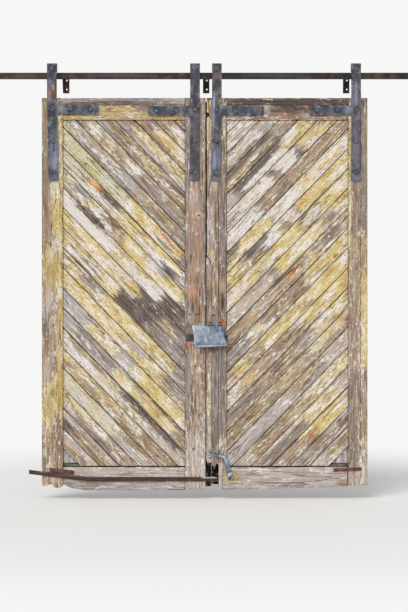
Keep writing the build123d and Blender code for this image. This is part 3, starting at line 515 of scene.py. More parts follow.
def weathered_timber(name, relief=0.0016, plain=None, patches=()):
    """The whole recipe. plain=(word, upright) is for a piece that has no attributes of its own."""
    mixing = Finish(name)
    if plain:
        word, upright = plain
        coats, tone = finish_words[word][:3], finish_words[word][3:]
        x, y, z = mixing.parts(mixing.places())
        along, across = (z, x) if upright else (x, z)
        grain = mixing.node("ShaderNodeCombineXYZ", {"X": along, "Y": across, "Z": y})
        from_edge = 1.0
    else:
        coats, tone = mixing.parts(mixing.read("coats")), mixing.parts(mixing.read("tone"))
        grain = mixing.read("grain")
        from_edge = mixing.read("from_edge", "Fac")
    patterns = follow_grain(mixing, grain)
    colour = bare_wood(mixing, patterns, tone[0], tone[1])
    colour, paint_share, thickness = weather_coats(mixing, patterns, colour, coats, tone)
    spots = mixing.times(mixing.step(patterns["specks"], 0.22, 0.08), 0.55)
    colour = mixing.mix(spots, colour, nail_rust)
    colour = mixing.mix(mixing.times(knots_of(mixing, grain), 0.7), colour, knot_brown)
    cracks = cracks_of(mixing, patterns, grain)
    colour = mixing.mix(mixing.times(cracks, 0.8), colour, crack_dark)
    ragged = blend_of(mixing, patterns, flakes=0.7, specks=0.3)
    colour = lay_patches(mixing, colour, mixing.places(), ragged, patches)
    # Dirt and painted shade along the joints, with a painted highlight beside them.
    colour = joint_dirt_and_shade(mixing, patterns, colour, from_edge)
    ridges = mixing.plus(mixing.times(patterns["fibres"], 0.5), thickness)
    hollows = mixing.plus(mixing.times(cracks, 0.7), mixing.times(spots, 0.3))
    height = mixing.minus(ridges, hollows)
    roughness = mixing.minus(0.9, mixing.times(paint_share, 0.2))
    return mixing.surface(colour, roughness, height, relief, specular=0.25)


print("the timber reads its grain, coats, tone and edge distance from each mesh")

# %% [markdown]
# The timber has a few marks that chance wouldn't bring: a lens of rust with dark tails, knots, nail holes,
# old cracks and the stains that iron has left under the lock plates and around the handle's foot. The
# boards share one material. The frame has one for each leaf, because a single material can hold only about
# fifty patches before its shader grows too large to render.

# %% Marks on the timber
bark, umber, ink = tint(90, 74, 68), tint(132, 88, 62), tint(40, 34, 32)
orange, amber, milk_white = tint(226, 142, 72), tint(246, 184, 112), tint(228, 222, 214)
board_marks = [
    # The left leaf: a bleached band over a dark one, the lens of rust and the small stains near it.
    (88, 224, 26, 4.6, milk_white, 0.7, 44), (90.5, 216.5, 24, 4, bark, 0.95, 44, 1),
    (95.5, 185.5, 17, 2.3, tint(96, 66, 52), 0.85, 39), (96, 185.5, 9, 2.1, orange, 0.95, 39),
    (95, 184.6, 5, 1.1, amber, 0.8, 39), (168.5, 241, 12, 2.3, tint(178, 98, 62), 0.7, 52),
    (134.9, 195.3, 1.7, 2.4, tint(172, 104, 54), 0.85), (115, 223.5, 8.5, 2.2, umber, 0.8, 45),
    # The right leaf: two long bands of painted shade in its top corner, stains among the boards and holes at
    # its foot.
    (259, 182, 1.6, 1.8, tint(168, 84, 62), 0.8), (291, 171, 2.2, 2.8, tint(196, 132, 88), 0.7),
    (301, 152, 2.2, 1.6, umber, 0.7), (297, 267.5, 4, 2, tint(158, 82, 52), 0.8, -45),
    (321.5, 250.8, 1.3, 1.3, umber, 0.9), (248.4, 379, 7, 4, tint(222, 178, 130), 0.6, -45),
    (245.6, 361, 1.8, 5, tint(196, 180, 90), 0.6), (252.3, 315.3, 6, 3, tint(212, 180, 120), 0.6, -45),
    (258.9, 453.8, 2, 1.8, tint(150, 108, 76), 0.8), (237.5, 464.5, 0.8, 0.8, umber, 0.9),
    (230.2, 453.2, 0.8, 0.8, umber, 0.9), (251, 146.5, 32, 1.9, tint(102, 92, 92), 0.62, -45.8, 1.2),
    (260, 156.5, 46, 2.1, tint(88, 78, 80), 0.72, -45.8, 1.2),
]
frame_marks = {
    "left": [
        # The outer stile of the left leaf: a knot, a crack and a nail in a pale ring.
        (49.8, 244.3, 2.2, 2.6, umber, 0.85), (51.5, 227.5, 0.7, 5.5, ink, 0.9),
        (53, 393, 3, 4.5, tint(146, 116, 56), 0.75), (57.5, 430, 3, 18, tint(108, 90, 78), 0.6),
        (48.5, 294, 2.6, 14, tint(208, 202, 206), 0.6), (47, 372, 2.2, 9, tint(206, 198, 200), 0.5),
        (56, 246, 0.7, 7, tint(168, 160, 172), 0.7), (49, 188, 1, 6, tint(140, 142, 158), 0.7),
        (45, 136, 2.2, 34, tint(164, 150, 106), 0.6), (50, 280, 9, 220, tint(146, 126, 104), 0.26, 0, 1),
        (45.2, 454, 1.8, 2, milk_white, 0.7), (45.2, 454, 0.7, 0.7, ink, 0.9),
        # The meeting stile: a slot, empty nail holes and rust that ran down from the lock plate.
        (194, 238, 9, 64, tint(176, 138, 118), 0.42, 0, 1), (192, 291, 5, 9, tint(204, 156, 124), 0.6),
        (198.2, 214.9, 3.6, 2.8, tint(230, 200, 172), 0.6), (198.2, 270, 2, 2.6, tint(208, 198, 186), 0.6),
        (199.9, 293, 0.5, 5, ink, 0.7), (191, 259, 0.8, 5.5, tint(52, 54, 66), 0.9, 0, 1.2),
        (198.5, 215.3, 1, 1, ink, 0.8), (192.4, 306, 0.5, 4.5, tint(62, 66, 88), 0.9),
        (190.1, 314.2, 1, 1, ink, 0.95), (197.8, 317, 2.2, 5, tint(180, 130, 96), 0.5),
        (198.2, 314.3, 2, 0.7, ink, 0.9), (188.4, 344.5, 1.7, 6, tint(206, 112, 62), 0.85),
        (195.5, 366.3, 1.2, 1.5, umber, 0.8), (203.5, 375, 2.4, 32, tint(142, 100, 82), 0.5),
        (188.3, 378, 2.4, 30, tint(168, 158, 162), 0.5), (193, 449, 2.4, 1.4, tint(108, 84, 56), 0.8),
        # The top rail and the cap of the left leaf.
        (120, 114, 70, 8, tint(148, 122, 100), 0.42), (144, 111, 12, 2.6, tint(150, 124, 118), 0.6),
        (120, 102, 70, 4.5, tint(128, 116, 110), 0.55), (96, 102.6, 34, 0.7, bark, 0.7),
        (140, 103.6, 40, 0.6, bark, 0.6), (144, 99.6, 22, 1.5, tint(126, 134, 158), 0.75, 0, 1.2),
        (176, 104, 12, 2, tint(156, 138, 130), 0.6),
    ],
    "right": [
        # The planks at the meeting edge: shade under the hood, old holes, and rot around the handle's tab.
        (222, 285, 5, 150, tint(116, 102, 96), 0.26, 0, 1),
        (212, 300, 5, 160, tint(126, 110, 102), 0.16, 0, 1), (208, 235, 1.1, 18, tint(190, 184, 194), 0.55),
        (212.4, 257, 1.7, 6.5, tint(220, 190, 136), 0.8), (217.3, 225, 0.9, 2.2, milk_white, 0.6),
        (219.9, 227.4, 0.9, 1.6, milk_white, 0.6), (221.5, 274.6, 2.6, 0.8, tint(124, 82, 66), 0.7),
        (221.5, 285, 2.6, 5.5, tint(190, 174, 130), 0.5),
        (208.2, 259.4, 1.2, 2.4, tint(208, 202, 200), 0.8, 0, 1),
        (209.6, 262.6, 1, 3, tint(186, 172, 176), 0.6), (208.7, 281, 1.3, 2.4, tint(186, 108, 64), 0.8),
        (213.6, 305.5, 0.5, 7, bark, 0.8), (213.8, 313.4, 2, 2.6, tint(168, 152, 110), 0.6),
        (213.8, 315.1, 1.1, 1.1, ink, 0.95), (222.6, 303.5, 1.3, 7.5, tint(62, 42, 40), 0.85),
        (223.9, 322, 2.6, 4, tint(176, 112, 56), 0.85), (223.9, 320.3, 1.1, 1.2, ink, 0.8),
        (212, 349, 13, 3, tint(92, 78, 70), 0.6), (220.8, 378, 3.4, 32, tint(128, 116, 118), 0.5),
        (209.5, 449.6, 2.6, 1.1, tint(178, 126, 84), 0.7), (210.3, 457.8, 2.6, 3, tint(206, 176, 164), 0.6),
        (210.2, 457.7, 1, 1.1, ink, 0.9), (223, 452.4, 1.9, 1.4, tint(146, 140, 62), 0.7),
        # The foot of the right leaf, stained around the handle.
        (225.3, 475.5, 2, 5, tint(188, 158, 104), 0.7), (232.5, 479, 7.5, 3.4, tint(166, 134, 88), 0.7),
        (231, 481.6, 4, 1, tint(200, 186, 140), 0.5), (254, 470.2, 2.2, 2, tint(182, 150, 108), 0.5),
        # The outer stile of the right leaf: nails, a crack and a bleached streak.
        (356, 280, 9, 220, tint(134, 112, 92), 0.2, 0, 1), (361.5, 233.6, 2.8, 3.2, milk_white, 0.7),
        (362, 233.6, 0.9, 0.9, ink, 0.85), (358.9, 222.5, 0.8, 4, ink, 0.8),
        (349, 373, 0.9, 7, milk_white, 0.7), (360.4, 300, 0.5, 190, tint(112, 76, 66), 0.7),
        (364.6, 160, 2, 66, tint(152, 140, 106), 0.55), (355, 330, 2.6, 22, tint(140, 112, 92), 0.5),
        # The cap and the top rail of the right leaf.
        (290, 101.5, 90, 4.2, tint(76, 65, 61), 0.8), (293, 117.5, 62, 2.6, tint(160, 118, 92), 0.6),
        (297, 108.5, 15, 3.6, tint(70, 60, 56), 0.7), (264, 108.5, 7, 3, tint(196, 184, 176), 0.5),
        (290, 113, 90, 9, tint(100, 76, 62), 0.22), (283, 113.5, 4, 2, tint(176, 92, 66), 0.6),
    ],
}
board_finish = weathered_timber("slanted_boards", patches=board_marks)
frame_finishes = {leaf: weathered_timber(f"{leaf}_frame_timber", 0.002, patches=marks)
                  for leaf, marks in frame_marks.items()}
print("marks on boards and frames:", len(board_marks), [len(marks) for marks in frame_marks.values()])

# %% [markdown]
# ## What is left of the coats
#
# A painter's words for the state of the wood keep the placing readable. Each word stands for six amounts:
# straw paint, chalk white, dark stripped wood, warmth, paleness and rust. A piece gets a list of such words
# with the stretch they cover, and the material breaks their borders up into flakes. Numbers written
# straight into each list would do, but nobody could picture a board from them.

# %% Words for the state of the wood
finish_words = {
    "grey": (0.12, 0.18, 0.12, 0.30, 0.52, 0.0),
    "silver": (0.06, 0.25, 0.00, 0.15, 0.92, 0.0),
    "brown": (0.24, 0.16, 0.26, 0.90, 0.44, 0.0),
    "umber": (0.00, 0.04, 0.14, 0.85, 0.46, 0.0),
    "ash": (0.00, 0.04, 0.14, 0.36, 0.40, 0.0),
    "cream": (0.80, 0.85, 0.00, 0.40, 0.90, 0.0),
    "speckled": (0.16, 0.62, 0.04, 0.62, 0.90, 0.0),
    "tan": (0.24, 0.08, 0.06, 0.80, 0.64, 0.0),
    "pink": (0.18, 0.30, 0.00, 0.55, 0.96, 0.0),
    "clean": (0.00, 0.40, 0.00, 0.10, 1.00, 0.0),
    "dark": (0.00, 0.04, 1.00, 0.45, 0.20, 0.0),
    "dusk": (0.08, 0.12, 0.58, 0.45, 0.35, 0.0),
    "straw": (1.08, 0.50, 0.00, 0.60, 0.62, 0.0),
    "ochre": (0.98, 0.10, 0.10, 0.80, 0.28, 0.0),
    "worn": (0.74, 0.42, 0.05, 0.55, 0.66, 0.0),
    "trace": (0.46, 0.18, 0.12, 0.62, 0.56, 0.0),
    "sage": (1.00, 0.60, 0.00, 0.25, 0.75, 0.0),
    "chalk": (0.30, 0.98, 0.00, 0.40, 0.85, 0.0),
    "milk": (0.10, 1.25, 0.00, 0.35, 0.95, 0.0),
    "flecks": (0.42, 0.60, 0.08, 0.50, 0.64, 0.0),
    "rust": (0.10, 0.10, 0.20, 0.90, 0.50, 1.0),
}

border_along, border_across, border_waver = 0.06, 0.25, 0.035


def cover(value, low, high, border):
    """1 inside a stretch and 0 outside, with soft borders; one that starts at 0 or ends at 1 runs on."""
    rise = (value - low) / border + 0.5 if low > 0 else 1.0
    fall = (high - value) / border + 0.5 if high < 1 else 1.0
    return max(0.0, min(1.0, rise, fall))


def state_at(patches, share_along, share_across, seed):
    """The six amounts at a place on a piece; both shares run from 0 to 1."""
    ragged = border_waver * noise.noise(Vector((share_along * 9, share_across * 5, seed * 3.7)))
    amounts = [0.0] * 6
    for word, start, end, *strip in patches:
        low, high = strip or (-1, 2)
        there = cover(share_along + ragged, start, end, border_along)
        there *= cover(share_across + ragged * 2, low, high, border_across)
        if there > 0:
            amounts = [(1 - there) * old + there * new for old, new in zip(amounts, finish_words[word])]
    return amounts


print("states of the wood:", len(finish_words))

# %% [markdown]
# ## How a plank is built
#
# A plain block looks new. An old plank has softened edges that wander, a face that is a little hollow, and
# ends that may be sawn at a slant or rotted away. A block with a Bevel and a Displace modifier would come
# near the edges, but not the ends. So a plank here is a ring of points that is repeated along the grain.
# Each ring is shifted a little by smooth noise, which gives real relief that also shows from the side. The
# helper can also leave a tongue and a groove along the edges. First comes where a plank lies, and two small
# helpers.

# %% Build planks from rings
class Lay:
    """Where a plank lies: its corner, the way its grain runs, the way across it, and its back plane."""

    def __init__(self, x, z, grain, across, back, thickness):
        self.corner = Vector((x, 0, z))
        self.grain = Vector((grain[0], 0, grain[1]))
        self.across = Vector((across[0], 0, across[1]))
        self.back = back
        self.thickness = thickness

    def place(self, along, sideways, depth):
        point = self.corner + self.grain * along + self.across * sideways
        return Vector((point.x, -(self.back + depth), point.z))

    def read(self, point):
        """How far a point lies along the grain, across it and out from the back."""
        flat = Vector((point.x, 0, point.z)) - self.corner
        return flat.dot(self.grain), flat.dot(self.across), -point.y - self.back


def line_between(points):
    """A function that follows straight lines between (place, value) points."""
    def value(place):
        before = points[0]
        for point in points:
            if place < point[0]:
                if point[0] == before[0]:
                    return point[1]
                share = (place - before[0]) / (point[0] - before[0])
                return before[1] + max(0.0, share) * (point[1] - before[1])
            before = point
        return points[-1][1]
    return value


def even_steps(start, end, step, extra=()):
    """Places from start to end, about a step apart, with the extra places among them."""
    count = max(2, math.ceil((end - start) / step))
    places = [start + (end - start) * number / count for number in range(count + 1)]
    kept = [place for place in places if all(abs(place - other) > step * 0.3 for other in extra)
            or place in (start, end)]
    return sorted(kept + list(extra))


print("steps of at most 4 from 0 to 10, with an extra one at 5:", even_steps(0, 10, 4, (5,)))

# %% [markdown]
# Wear is quick and slow at once: an edge wanders over the length of an arm, is nibbled over a hand's width,
# and has a chip here and there. The noise functions of mathutils give such values for any place.

# %% Wear an edge and a face, and build the plank
edge_wander, face_wander = mm(1.2), mm(1.0)
edge_round = mm(2.8)


def worn_edge(along, seed):
    """How far an edge has worn back at a place, in metres."""
    slow = 0.5 + 0.5 * noise.noise(Vector((along * 3.1, seed * 5.3, 0)))
    quick = 0.5 + 0.5 * noise.noise(Vector((along * 19, seed * 9.1, 3)))
    chip = max(0.0, noise.noise(Vector((along * 7, seed * 2.9, 8))) - 0.45) * 5
    return edge_wander * (0.6 * slow + 0.5 * quick + chip)


def hollow_face(along, sideways, seed):
    """How far the face has worn in at a place, in metres."""
    waves = noise.noise(Vector((along * 2.6, sideways * 14, seed * 4.1)))
    ridges = noise.noise(Vector((along * 5, sideways * 60, seed * 1.3 + 5)))
    return face_wander * (0.5 + 0.35 * waves + 0.25 * ridges)


def add_plank(shell, lay, sides, run, seed, spacing=mm(9), groove=None, kinks=()):
    """Adds one plank to a shell: sides(along) gives its two edges, run(sideways) its rings."""
    low, high = sides(run(0.0)[0])
    width = high - low
    inner = even_steps(edge_round, width - edge_round, spacing, kinks)
    fronts = [(0.0, lay.thickness - edge_round)] + [(place, lay.thickness) for place in inner]
    fronts.append((width, lay.thickness - edge_round))
    backs = [(0.0, 0.0), (width, 0.0)] if groove else [(place, 0.0) for place, depth in fronts]
    tongue_side, groove_side = groove(width) if groove else ([], [])
    outline = fronts + tongue_side + backs[::-1] + groove_side
    rings = []
    for sideways, depth in outline:
        line = []
        for along in run(low + min(max(sideways, 0.0), width)):
            edge_low, edge_high = sides(along)
            place = edge_low + sideways * (edge_high - edge_low) / width
            out = depth
            if depth >= lay.thickness - edge_round:
                if sideways <= 0:
                    place += worn_edge(along, seed)
                elif sideways >= width:
                    place -= worn_edge(along, seed + 50)
                else:
                    out -= hollow_face(along, place, seed)
            line.append(shell.verts.new(lay.place(along, place, out)))
        rings.append(line)
    count, length = len(rings), len(rings[0])
    for number in range(count):
        one, other = rings[number], rings[(number + 1) % count]
        for step in range(length - 1):
            shell.faces.new((one[step], one[step + 1], other[step + 1], other[step]))
    for end in (0, length - 1):
        if groove:
            shell.faces.new([line[end] for line in rings])
        else:
            last = len(fronts) - 1
            for number in range(last):
                front_pair = (rings[number][end], rings[number + 1][end])
                back_pair = (rings[count - 2 - number][end], rings[count - 1 - number][end])
                shell.faces.new((*front_pair, *back_pair))
    return width


def footed_run(levels, foot, zone):
    """Rings at given levels; below the zone's height they are drawn towards an uneven foot."""
    def run(sideways):
        low = foot(sideways)
        return [low + (zone - low) * level / zone if level < zone else level for level in levels]
    return run


print("planks are built from rings", round(edge_round * 1000, 1), "mm round at the edge")

# %% [markdown]
# ## From shell to piece
#
# A finished shell becomes an object with the grain, the coats, the tone and the distance to its edge
# written to its points. A cut that a joiner would make afterwards, such as a rebate or a bored hole, could
# be drawn into the rings, but it is made the joiner's way here: a plain cutter is taken away from the
# plank.

# %% Turn a shell into a finished piece
def to_object(name, shell):
    """Turns a shell into an object of the scene, with its faces looking outwards."""
    bmesh.ops.recalc_face_normals(shell, faces=shell.faces)
    mesh = bpy.data.meshes.new(name)
    shell.to_mesh(mesh)
    shell.free()
    made = bpy.data.objects.new(name, mesh)
    bpy.context.scene.collection.objects.link(made)
    return made


def prism(name, outline, start, end):
    """A plain cutter: an outline in X and Z between two distances out from the wall."""
    shell = bmesh.new()
    near = [shell.verts.new((x, -start, z)) for x, z in outline]
    far = [shell.verts.new((x, -end, z)) for x, z in outline]
    shell.faces.new(near)
    shell.faces.new(far[::-1])
    for number in range(len(outline)):
        after = (number + 1) % len(outline)
        shell.faces.new((near[number], far[number], far[after], near[after]))
    return to_object(name, shell)


def settle(piece):
    """Applies the modifiers of a piece to its mesh."""
    bpy.context.view_layer.update()
    ready = piece.evaluated_get(bpy.context.evaluated_depsgraph_get())
    piece.data = bpy.data.meshes.new_from_object(ready)
    piece.modifiers.clear()


print("cutters are prisms between two distances from the wall")

# %% [markdown]
# Attributes are numbers that the mesh carries for each of its points. Vertex groups and colours could carry
# them too, but groups hold one number each and colours may be clipped at 1. Plain vectors keep what they
# get. The back of a piece has hardly seen any paint, so its coats are thinned out.

# %% Write the state and hang the piece
back_rind = mm(5)
paint_behind, chalk_behind = 0.1, 0.4
smooth_below = math.radians(40)


def write_values(mesh, name, values):
    """Writes one number, or three, to each point of a mesh."""
    kind, key = ("FLOAT", "value") if len(values) == len(mesh.vertices) else ("FLOAT_VECTOR", "vector")
    mesh.attributes.new(name, kind, "POINT").data.foreach_set(key, values)


def write_state(mesh, lay, sides, length, patches, seed, border=None):
    """Writes the grain, coats, tone and edge distance of each point; border adds edges of its own."""
    grain, coats, tone, edges = [], [], [], []
    for vertex in mesh.vertices:
        along, sideways, out = lay.read(vertex.co)
        low, high = sides(along)
        share = min(max((sideways - low) / (high - low), 0), 1)
        paint, chalk, soot, warmth, paleness, rust = state_at(patches, along / length, share, seed)
        if out < back_rind:
            paint, chalk = paint * paint_behind, chalk * chalk_behind
        from_end = border(vertex.co) if border else min(along, length - along)
        near = min(sideways - low, high - sideways, from_end)
        grain += [along + seed * 1.37, sideways + seed * 0.61, out + seed * 0.23]
        coats += [paint, chalk, soot]
        tone += [warmth, paleness, rust]
        edges.append(max(near, 0.0))
    for name, values in (("grain", grain), ("coats", coats), ("tone", tone), ("from_edge", edges)):
        write_values(mesh, name, values)


def finish_piece(name, shell, lay, sides, length, patches, seed, body, node, finish, cutters=(),
                 border=None):
    """Makes the object, cuts it, writes its state and hangs it on its leaf."""
    piece = to_object(name, shell)
    for cutter in cutters:
        cut = piece.modifiers.new("cut", "BOOLEAN")
        cut.operation = "DIFFERENCE"
        cut.solver = "EXACT"
        cut.object = cutter
    if cutters:
        settle(piece)
        for cutter in cutters:
            bpy.data.objects.remove(cutter)
    piece.data.polygons.foreach_set("use_smooth", [True] * len(piece.data.polygons))
    piece.data.set_sharp_from_angle(angle=smooth_below)
    write_state(piece.data, lay, sides, length, patches, seed, border)
    piece.data.materials.clear()
    piece.data.materials.append(finish)
    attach(piece, body)
    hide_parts(node)
    return piece


print("backs within", round(back_rind * 1000), "mm of the wall side stay almost bare")

# %% [markdown]
# ## Slanted boards
#
# Each leaf is filled with tongued and grooved boards at about 46 degrees, falling towards the middle on the
# left leaf and, mirrored, on the right one. Every board is clipped by the frame around it, so its ends
# follow the stile or the rail. One flat panel with painted joints would do from far away, but only real
# gaps keep their shadow from the side. They are made one by one, because each has weathered in its own way.

# %% Sizes of the slanted boards
board_lean = math.radians(45.8)
board_joint = mm(1.6)
tongue_length, tongue_half = mm(6), mm(3.5)
groove_depth, groove_half = mm(8.5), mm(3.8)
board_step = mm(11)
leaf_boards = {
    "left": {"side": 1, "cover": mm(107.8), "lowest": mm(324), "chance": 3, "first_seed": 0},
    "right": {"side": -1, "cover": mm(106.6), "lowest": mm(340), "chance": 4, "first_seed": 40},
}


def tongue_and_groove(width):
    """The points that a board's edges add: the tongue on its upper edge, the groove in its lower one."""
    middle = board_thickness / 2
    tongue = [(width, middle + tongue_half), (width + tongue_length, middle + tongue_half),
              (width + tongue_length, middle - tongue_half), (width, middle - tongue_half)]
    groove = [(0.0, middle - groove_half), (groove_depth, middle - groove_half),
              (groove_depth, middle + groove_half), (0.0, middle + groove_half)]
    return tongue, groove


def clip(lay, sideways, box_low, box_high):
    """Where a line along the grain enters and leaves the leaf's panel."""
    start = lay.corner + lay.across * sideways
    enter, leave = -far_off, far_off
    for axis, low, high in ((0, box_low.x, box_high.x), (2, box_low.z, box_high.z)):
        one = (low - start[axis]) / lay.grain[axis]
        other = (high - start[axis]) / lay.grain[axis]
        enter, leave = max(enter, min(one, other)), min(leave, max(one, other))
    return enter, leave


print("boards cover", leaf_boards["left"]["cover"], "and", leaf_boards["right"]["cover"], "metres")

# %% [markdown]
# The lists below say how each board has weathered, from the lowest board up. A stretch runs from the outer
# stile, 0, to the meeting stile, 1. Where two more numbers follow, it keeps to a strip of the board, from
# its lower edge, 0, to its upper edge, 1.

# %% How the boards have weathered
left_board_states = [
    [("pink", 0, 1), ("brown", 0, 0.3, 0, 0.5)],
    [("pink", 0, 1), ("dark", -0.1, 0.10, 0, 0.6), ("brown", 0.05, 0.34, 0, 0.7)],
    [("pink", 0, 1), ("worn", 0, 0.30, 0.4, 1), ("tan", 0.3, 0.5), ("dusk", 0.08, 0.40, 0, 0.4)],
    [("pink", 0, 1), ("sage", 0, 0.42), ("trace", 0.38, 0.5), ("brown", 0.42, 0.62, 0.5, 1),
     ("silver", 0.4, 0.6, 0, 0.5)],
    [("tan", 0, 1), ("worn", 0, 0.6, 0.5, 1), ("trace", 0, 0.45, 0, 0.5), ("brown", 0.62, 0.85, 0.4, 1)],
    [("pink", 0, 1), ("chalk", 0, 0.38, 0, 0.7), ("trace", 0, 0.4, 0.7, 1), ("flecks", 0.4, 0.62, 0, 0.6),
     ("dark", 0.42, 0.9, 0.6, 1)],
    [("silver", 0, 0.5), ("grey", 0.05, 0.42, 0.2, 0.9), ("straw", 0.4, 0.88, 0.1, 0.8),
     ("brown", 0.86, 1.1)],
    [("silver", 0, 0.3), ("worn", 0.16, 0.66), ("silver", 0.4, 0.52, 0.2, 1), ("straw", 0.6, 1.1)],
    [("straw", 0, 0.46), ("worn", 0.4, 0.8), ("silver", 0.48, 0.6, 0.5, 1), ("trace", 0.8, 1.1, 0, 0.5),
     ("grey", 0.82, 1.1, 0.5, 1)],
    [("worn", 0, 1), ("grey", 0.1, 0.24, 0.3, 1), ("straw", 0.3, 0.55), ("worn", 0.55, 0.9),
     ("grey", 0.86, 1.1)],
    [("worn", 0, 0.4), ("chalk", 0.02, 0.3, 0.2, 0.7), ("straw", 0.26, 0.42), ("dark", 0.40, 0.68),
     ("grey", 0.66, 1.1), ("dusk", 0.66, 0.9, 0, 0.3)],
    [("straw", 0, 0.62), ("chalk", 0.30, 0.5, 0.5, 1), ("dark", 0.56, 0.8), ("trace", 0.78, 0.9, 0, 0.7),
     ("grey", 0.9, 1.1)],
    [("chalk", 0, 0.42), ("worn", 0.36, 0.56), ("milk", 0.5, 0.78),
     ("straw", 0.55, 0.72, 0.7, 1), ("dark", 0.76, 0.97), ("grey", 0.96, 1.1)],
    [("flecks", 0, 0.44), ("grey", 0.02, 0.16, 0.5, 1), ("brown", 0.3, 0.48, 0.5, 1),
     ("straw", 0.46, 0.94), ("chalk", 0.62, 0.74, 0.5, 1), ("tan", 0.94, 1.1)],
    [("sage", 0, 0.22), ("chalk", 0.16, 0.5, 0, 0.6), ("straw", 0.42, 0.62), ("chalk", 0.55, 0.8, 0, 0.6),
     ("straw", 0.62, 0.9, 0.5, 1), ("pink", 0.9, 1.1)],
    [("sage", 0, 0.62), ("straw", 0.5, 0.92), ("pink", 0.94, 1.1)],
    [("trace", 0, 0.5), ("grey", 0.1, 0.5, 0, 0.4), ("silver", 0.42, 0.6, 0.4, 1), ("tan", 0.56, 0.7),
     ("brown", 0.66, 1.1, 0.3, 1), ("grey", 0.66, 1.1, 0, 0.3)],
    [("tan", 0, 1), ("flecks", 0.15, 0.4, 0.3, 0.9), ("chalk", 0.46, 0.66, 0.3, 0.8), ("grey", 0.6, 1.1),
     ("brown", 0.8, 1.1, 0.4, 0.9)],
    [("brown", 0, 1), ("grey", 0, 0.45, 0, 0.4), ("trace", 0.45, 1.0, 0.2, 0.9),
     ("dark", 0.82, 0.98, 0.6, 0.9)],
    [("tan", 0, 1), ("worn", 0.56, 1.1, 0.3, 1), ("silver", 0.4, 1.1, 0, 0.3),
     ("chalk", 0.85, 1.1, 0, 0.28)],
    [("brown", 0, 1), ("straw", 0.72, 1.0, 0.3, 1), ("brown", 0.7, 1.1, 0, 0.25)],
    [("brown", 0, 1), ("milk", 0.86, 0.97, 0.3, 0.9), ("flecks", 0.86, 1.1, 0, 0.6)],
    [("pink", 0, 1), ("brown", 0.9, 1.1)],
]
right_board_states = [
    [("pink", 0, 1), ("silver", 0.3, 0.9), ("brown", 0, 0.12, 0.3, 0.8)],
    [("silver", 0, 1), ("grey", 0.1, 0.35), ("brown", 0, 0.2, 0.2, 0.7)],
    [("pink", 0, 1), ("straw", 0, 0.34), ("rust", 0.24, 0.42, 0.1, 0.8), ("tan", 0.3, 0.55),
     ("silver", 0.6, 1)],
    [("pink", 0, 1), ("worn", 0.04, 0.36), ("dusk", 0.3, 0.68, 0, 0.7), ("flecks", 0.66, 1)],
    [("tan", 0, 1), ("worn", 0, 0.3), ("trace", 0.3, 0.5), ("brown", 0.45, 0.75), ("pink", 0.74, 1.1)],
    [("pink", 0, 1), ("grey", 0.15, 0.45), ("trace", 0.2, 0.42, 0.4, 1), ("silver", 0.55, 1)],
    [("brown", 0, 1), ("worn", 0, 0.26, 0.4, 1), ("trace", 0.3, 0.7), ("brown", 0.55, 0.9, 0, 0.6)],
    [("tan", 0, 1), ("worn", 0, 0.22), ("flecks", 0.12, 0.3), ("grey", 0.26, 0.32), ("brown", 0.4, 0.6),
     ("dusk", 0.68, 0.96, 0.2, 0.8)],
    [("worn", 0, 1), ("straw", 0, 0.3), ("tan", 0.36, 0.7), ("brown", 0.4, 0.62, 0.5, 1), ("trace", 0.7, 1)],
    [("straw", 0, 0.28), ("worn", 0.26, 0.68), ("straw", 0.42, 0.62, 0, 0.6), ("tan", 0.68, 1.1),
     ("straw", 0.8, 0.88), ("pink", 0.92, 1.1)],
    [("worn", 0, 0.32), ("straw", 0.04, 0.26, 0.2, 0.9), ("brown", 0.34, 0.68), ("flecks", 0.62, 0.8),
     ("grey", 0.78, 1.1)],
    [("flecks", 0, 1), ("dusk", 0.02, 0.16, 0.3, 0.9), ("worn", 0.22, 0.36), ("tan", 0.3, 0.7),
     ("rust", 0.38, 0.45, 0.4, 0.9), ("brown", 0.7, 1.1)],
    [("worn", 0, 1), ("dusk", 0.06, 0.16, 0.2, 0.7), ("chalk", 0.16, 0.32, 0, 0.5), ("straw", 0.22, 0.54),
     ("grey", 0.53, 0.6), ("pink", 0.62, 1.1)],
    [("straw", 0, 0.2), ("chalk", 0.2, 0.34, 0.1, 0.8), ("straw", 0.34, 0.56), ("worn", 0.56, 1.1),
     ("chalk", 0.84, 1.1, 0.3, 0.9)],
    [("straw", 0, 0.38), ("chalk", 0.38, 0.48), ("worn", 0.48, 0.6), ("chalk", 0.54, 0.66, 0, 0.6),
     ("brown", 0.68, 0.8, 0, 0.5), ("worn", 0.8, 1.1)],
    [("cream", 0, 0.5), ("chalk", 0.36, 0.62), ("straw", 0.62, 0.86), ("dusk", 0.84, 0.98, 0.5, 1),
     ("worn", 0.86, 1.1, 0, 0.5)],
    [("tan", 0, 0.7), ("brown", 0.2, 0.66, 0.1, 0.8), ("dusk", 0.5, 0.62, 0, 0.3), ("chalk", 0.7, 1.1)],
    [("trace", 0, 0.36), ("worn", 0.16, 0.34), ("milk", 0.4, 0.54), ("brown", 0.52, 0.62, 0, 0.5),
     ("chalk", 0.6, 1.1), ("grey", 0.84, 0.96, 0.2, 0.6)],
    [("worn", 0.2, 0.56), ("chalk", 0.5, 0.82, 0, 0.5), ("dark", 0.48, 0.92, 0.55, 1), ("pink", 0.88, 1.1)],
    [("tan", 0, 1), ("worn", 0.62, 1.1, 0, 0.4), ("dark", 0.56, 1.1, 0.62, 1)],
    [("pink", 0, 1), ("speckled", 0.7, 1.1), ("trace", 0.76, 0.9, 0, 0.3), ("brown", 0.8, 1.1, 0.85, 1)],
    [("speckled", 0, 1.1)],
    [("speckled", 0, 1.1)],
]
print("boards described:", len(left_board_states), len(right_board_states))

# %% [markdown]
# Now the boards are laid, from the foot up. A few have shrunk and show a wider joint, and each lies a
# little deeper or prouder than the next, as old boards do. The nails are only noted down here and driven at
# the end. The joints of old boards could be darkened by hand, but the distance to the edge does that for
# all of them.

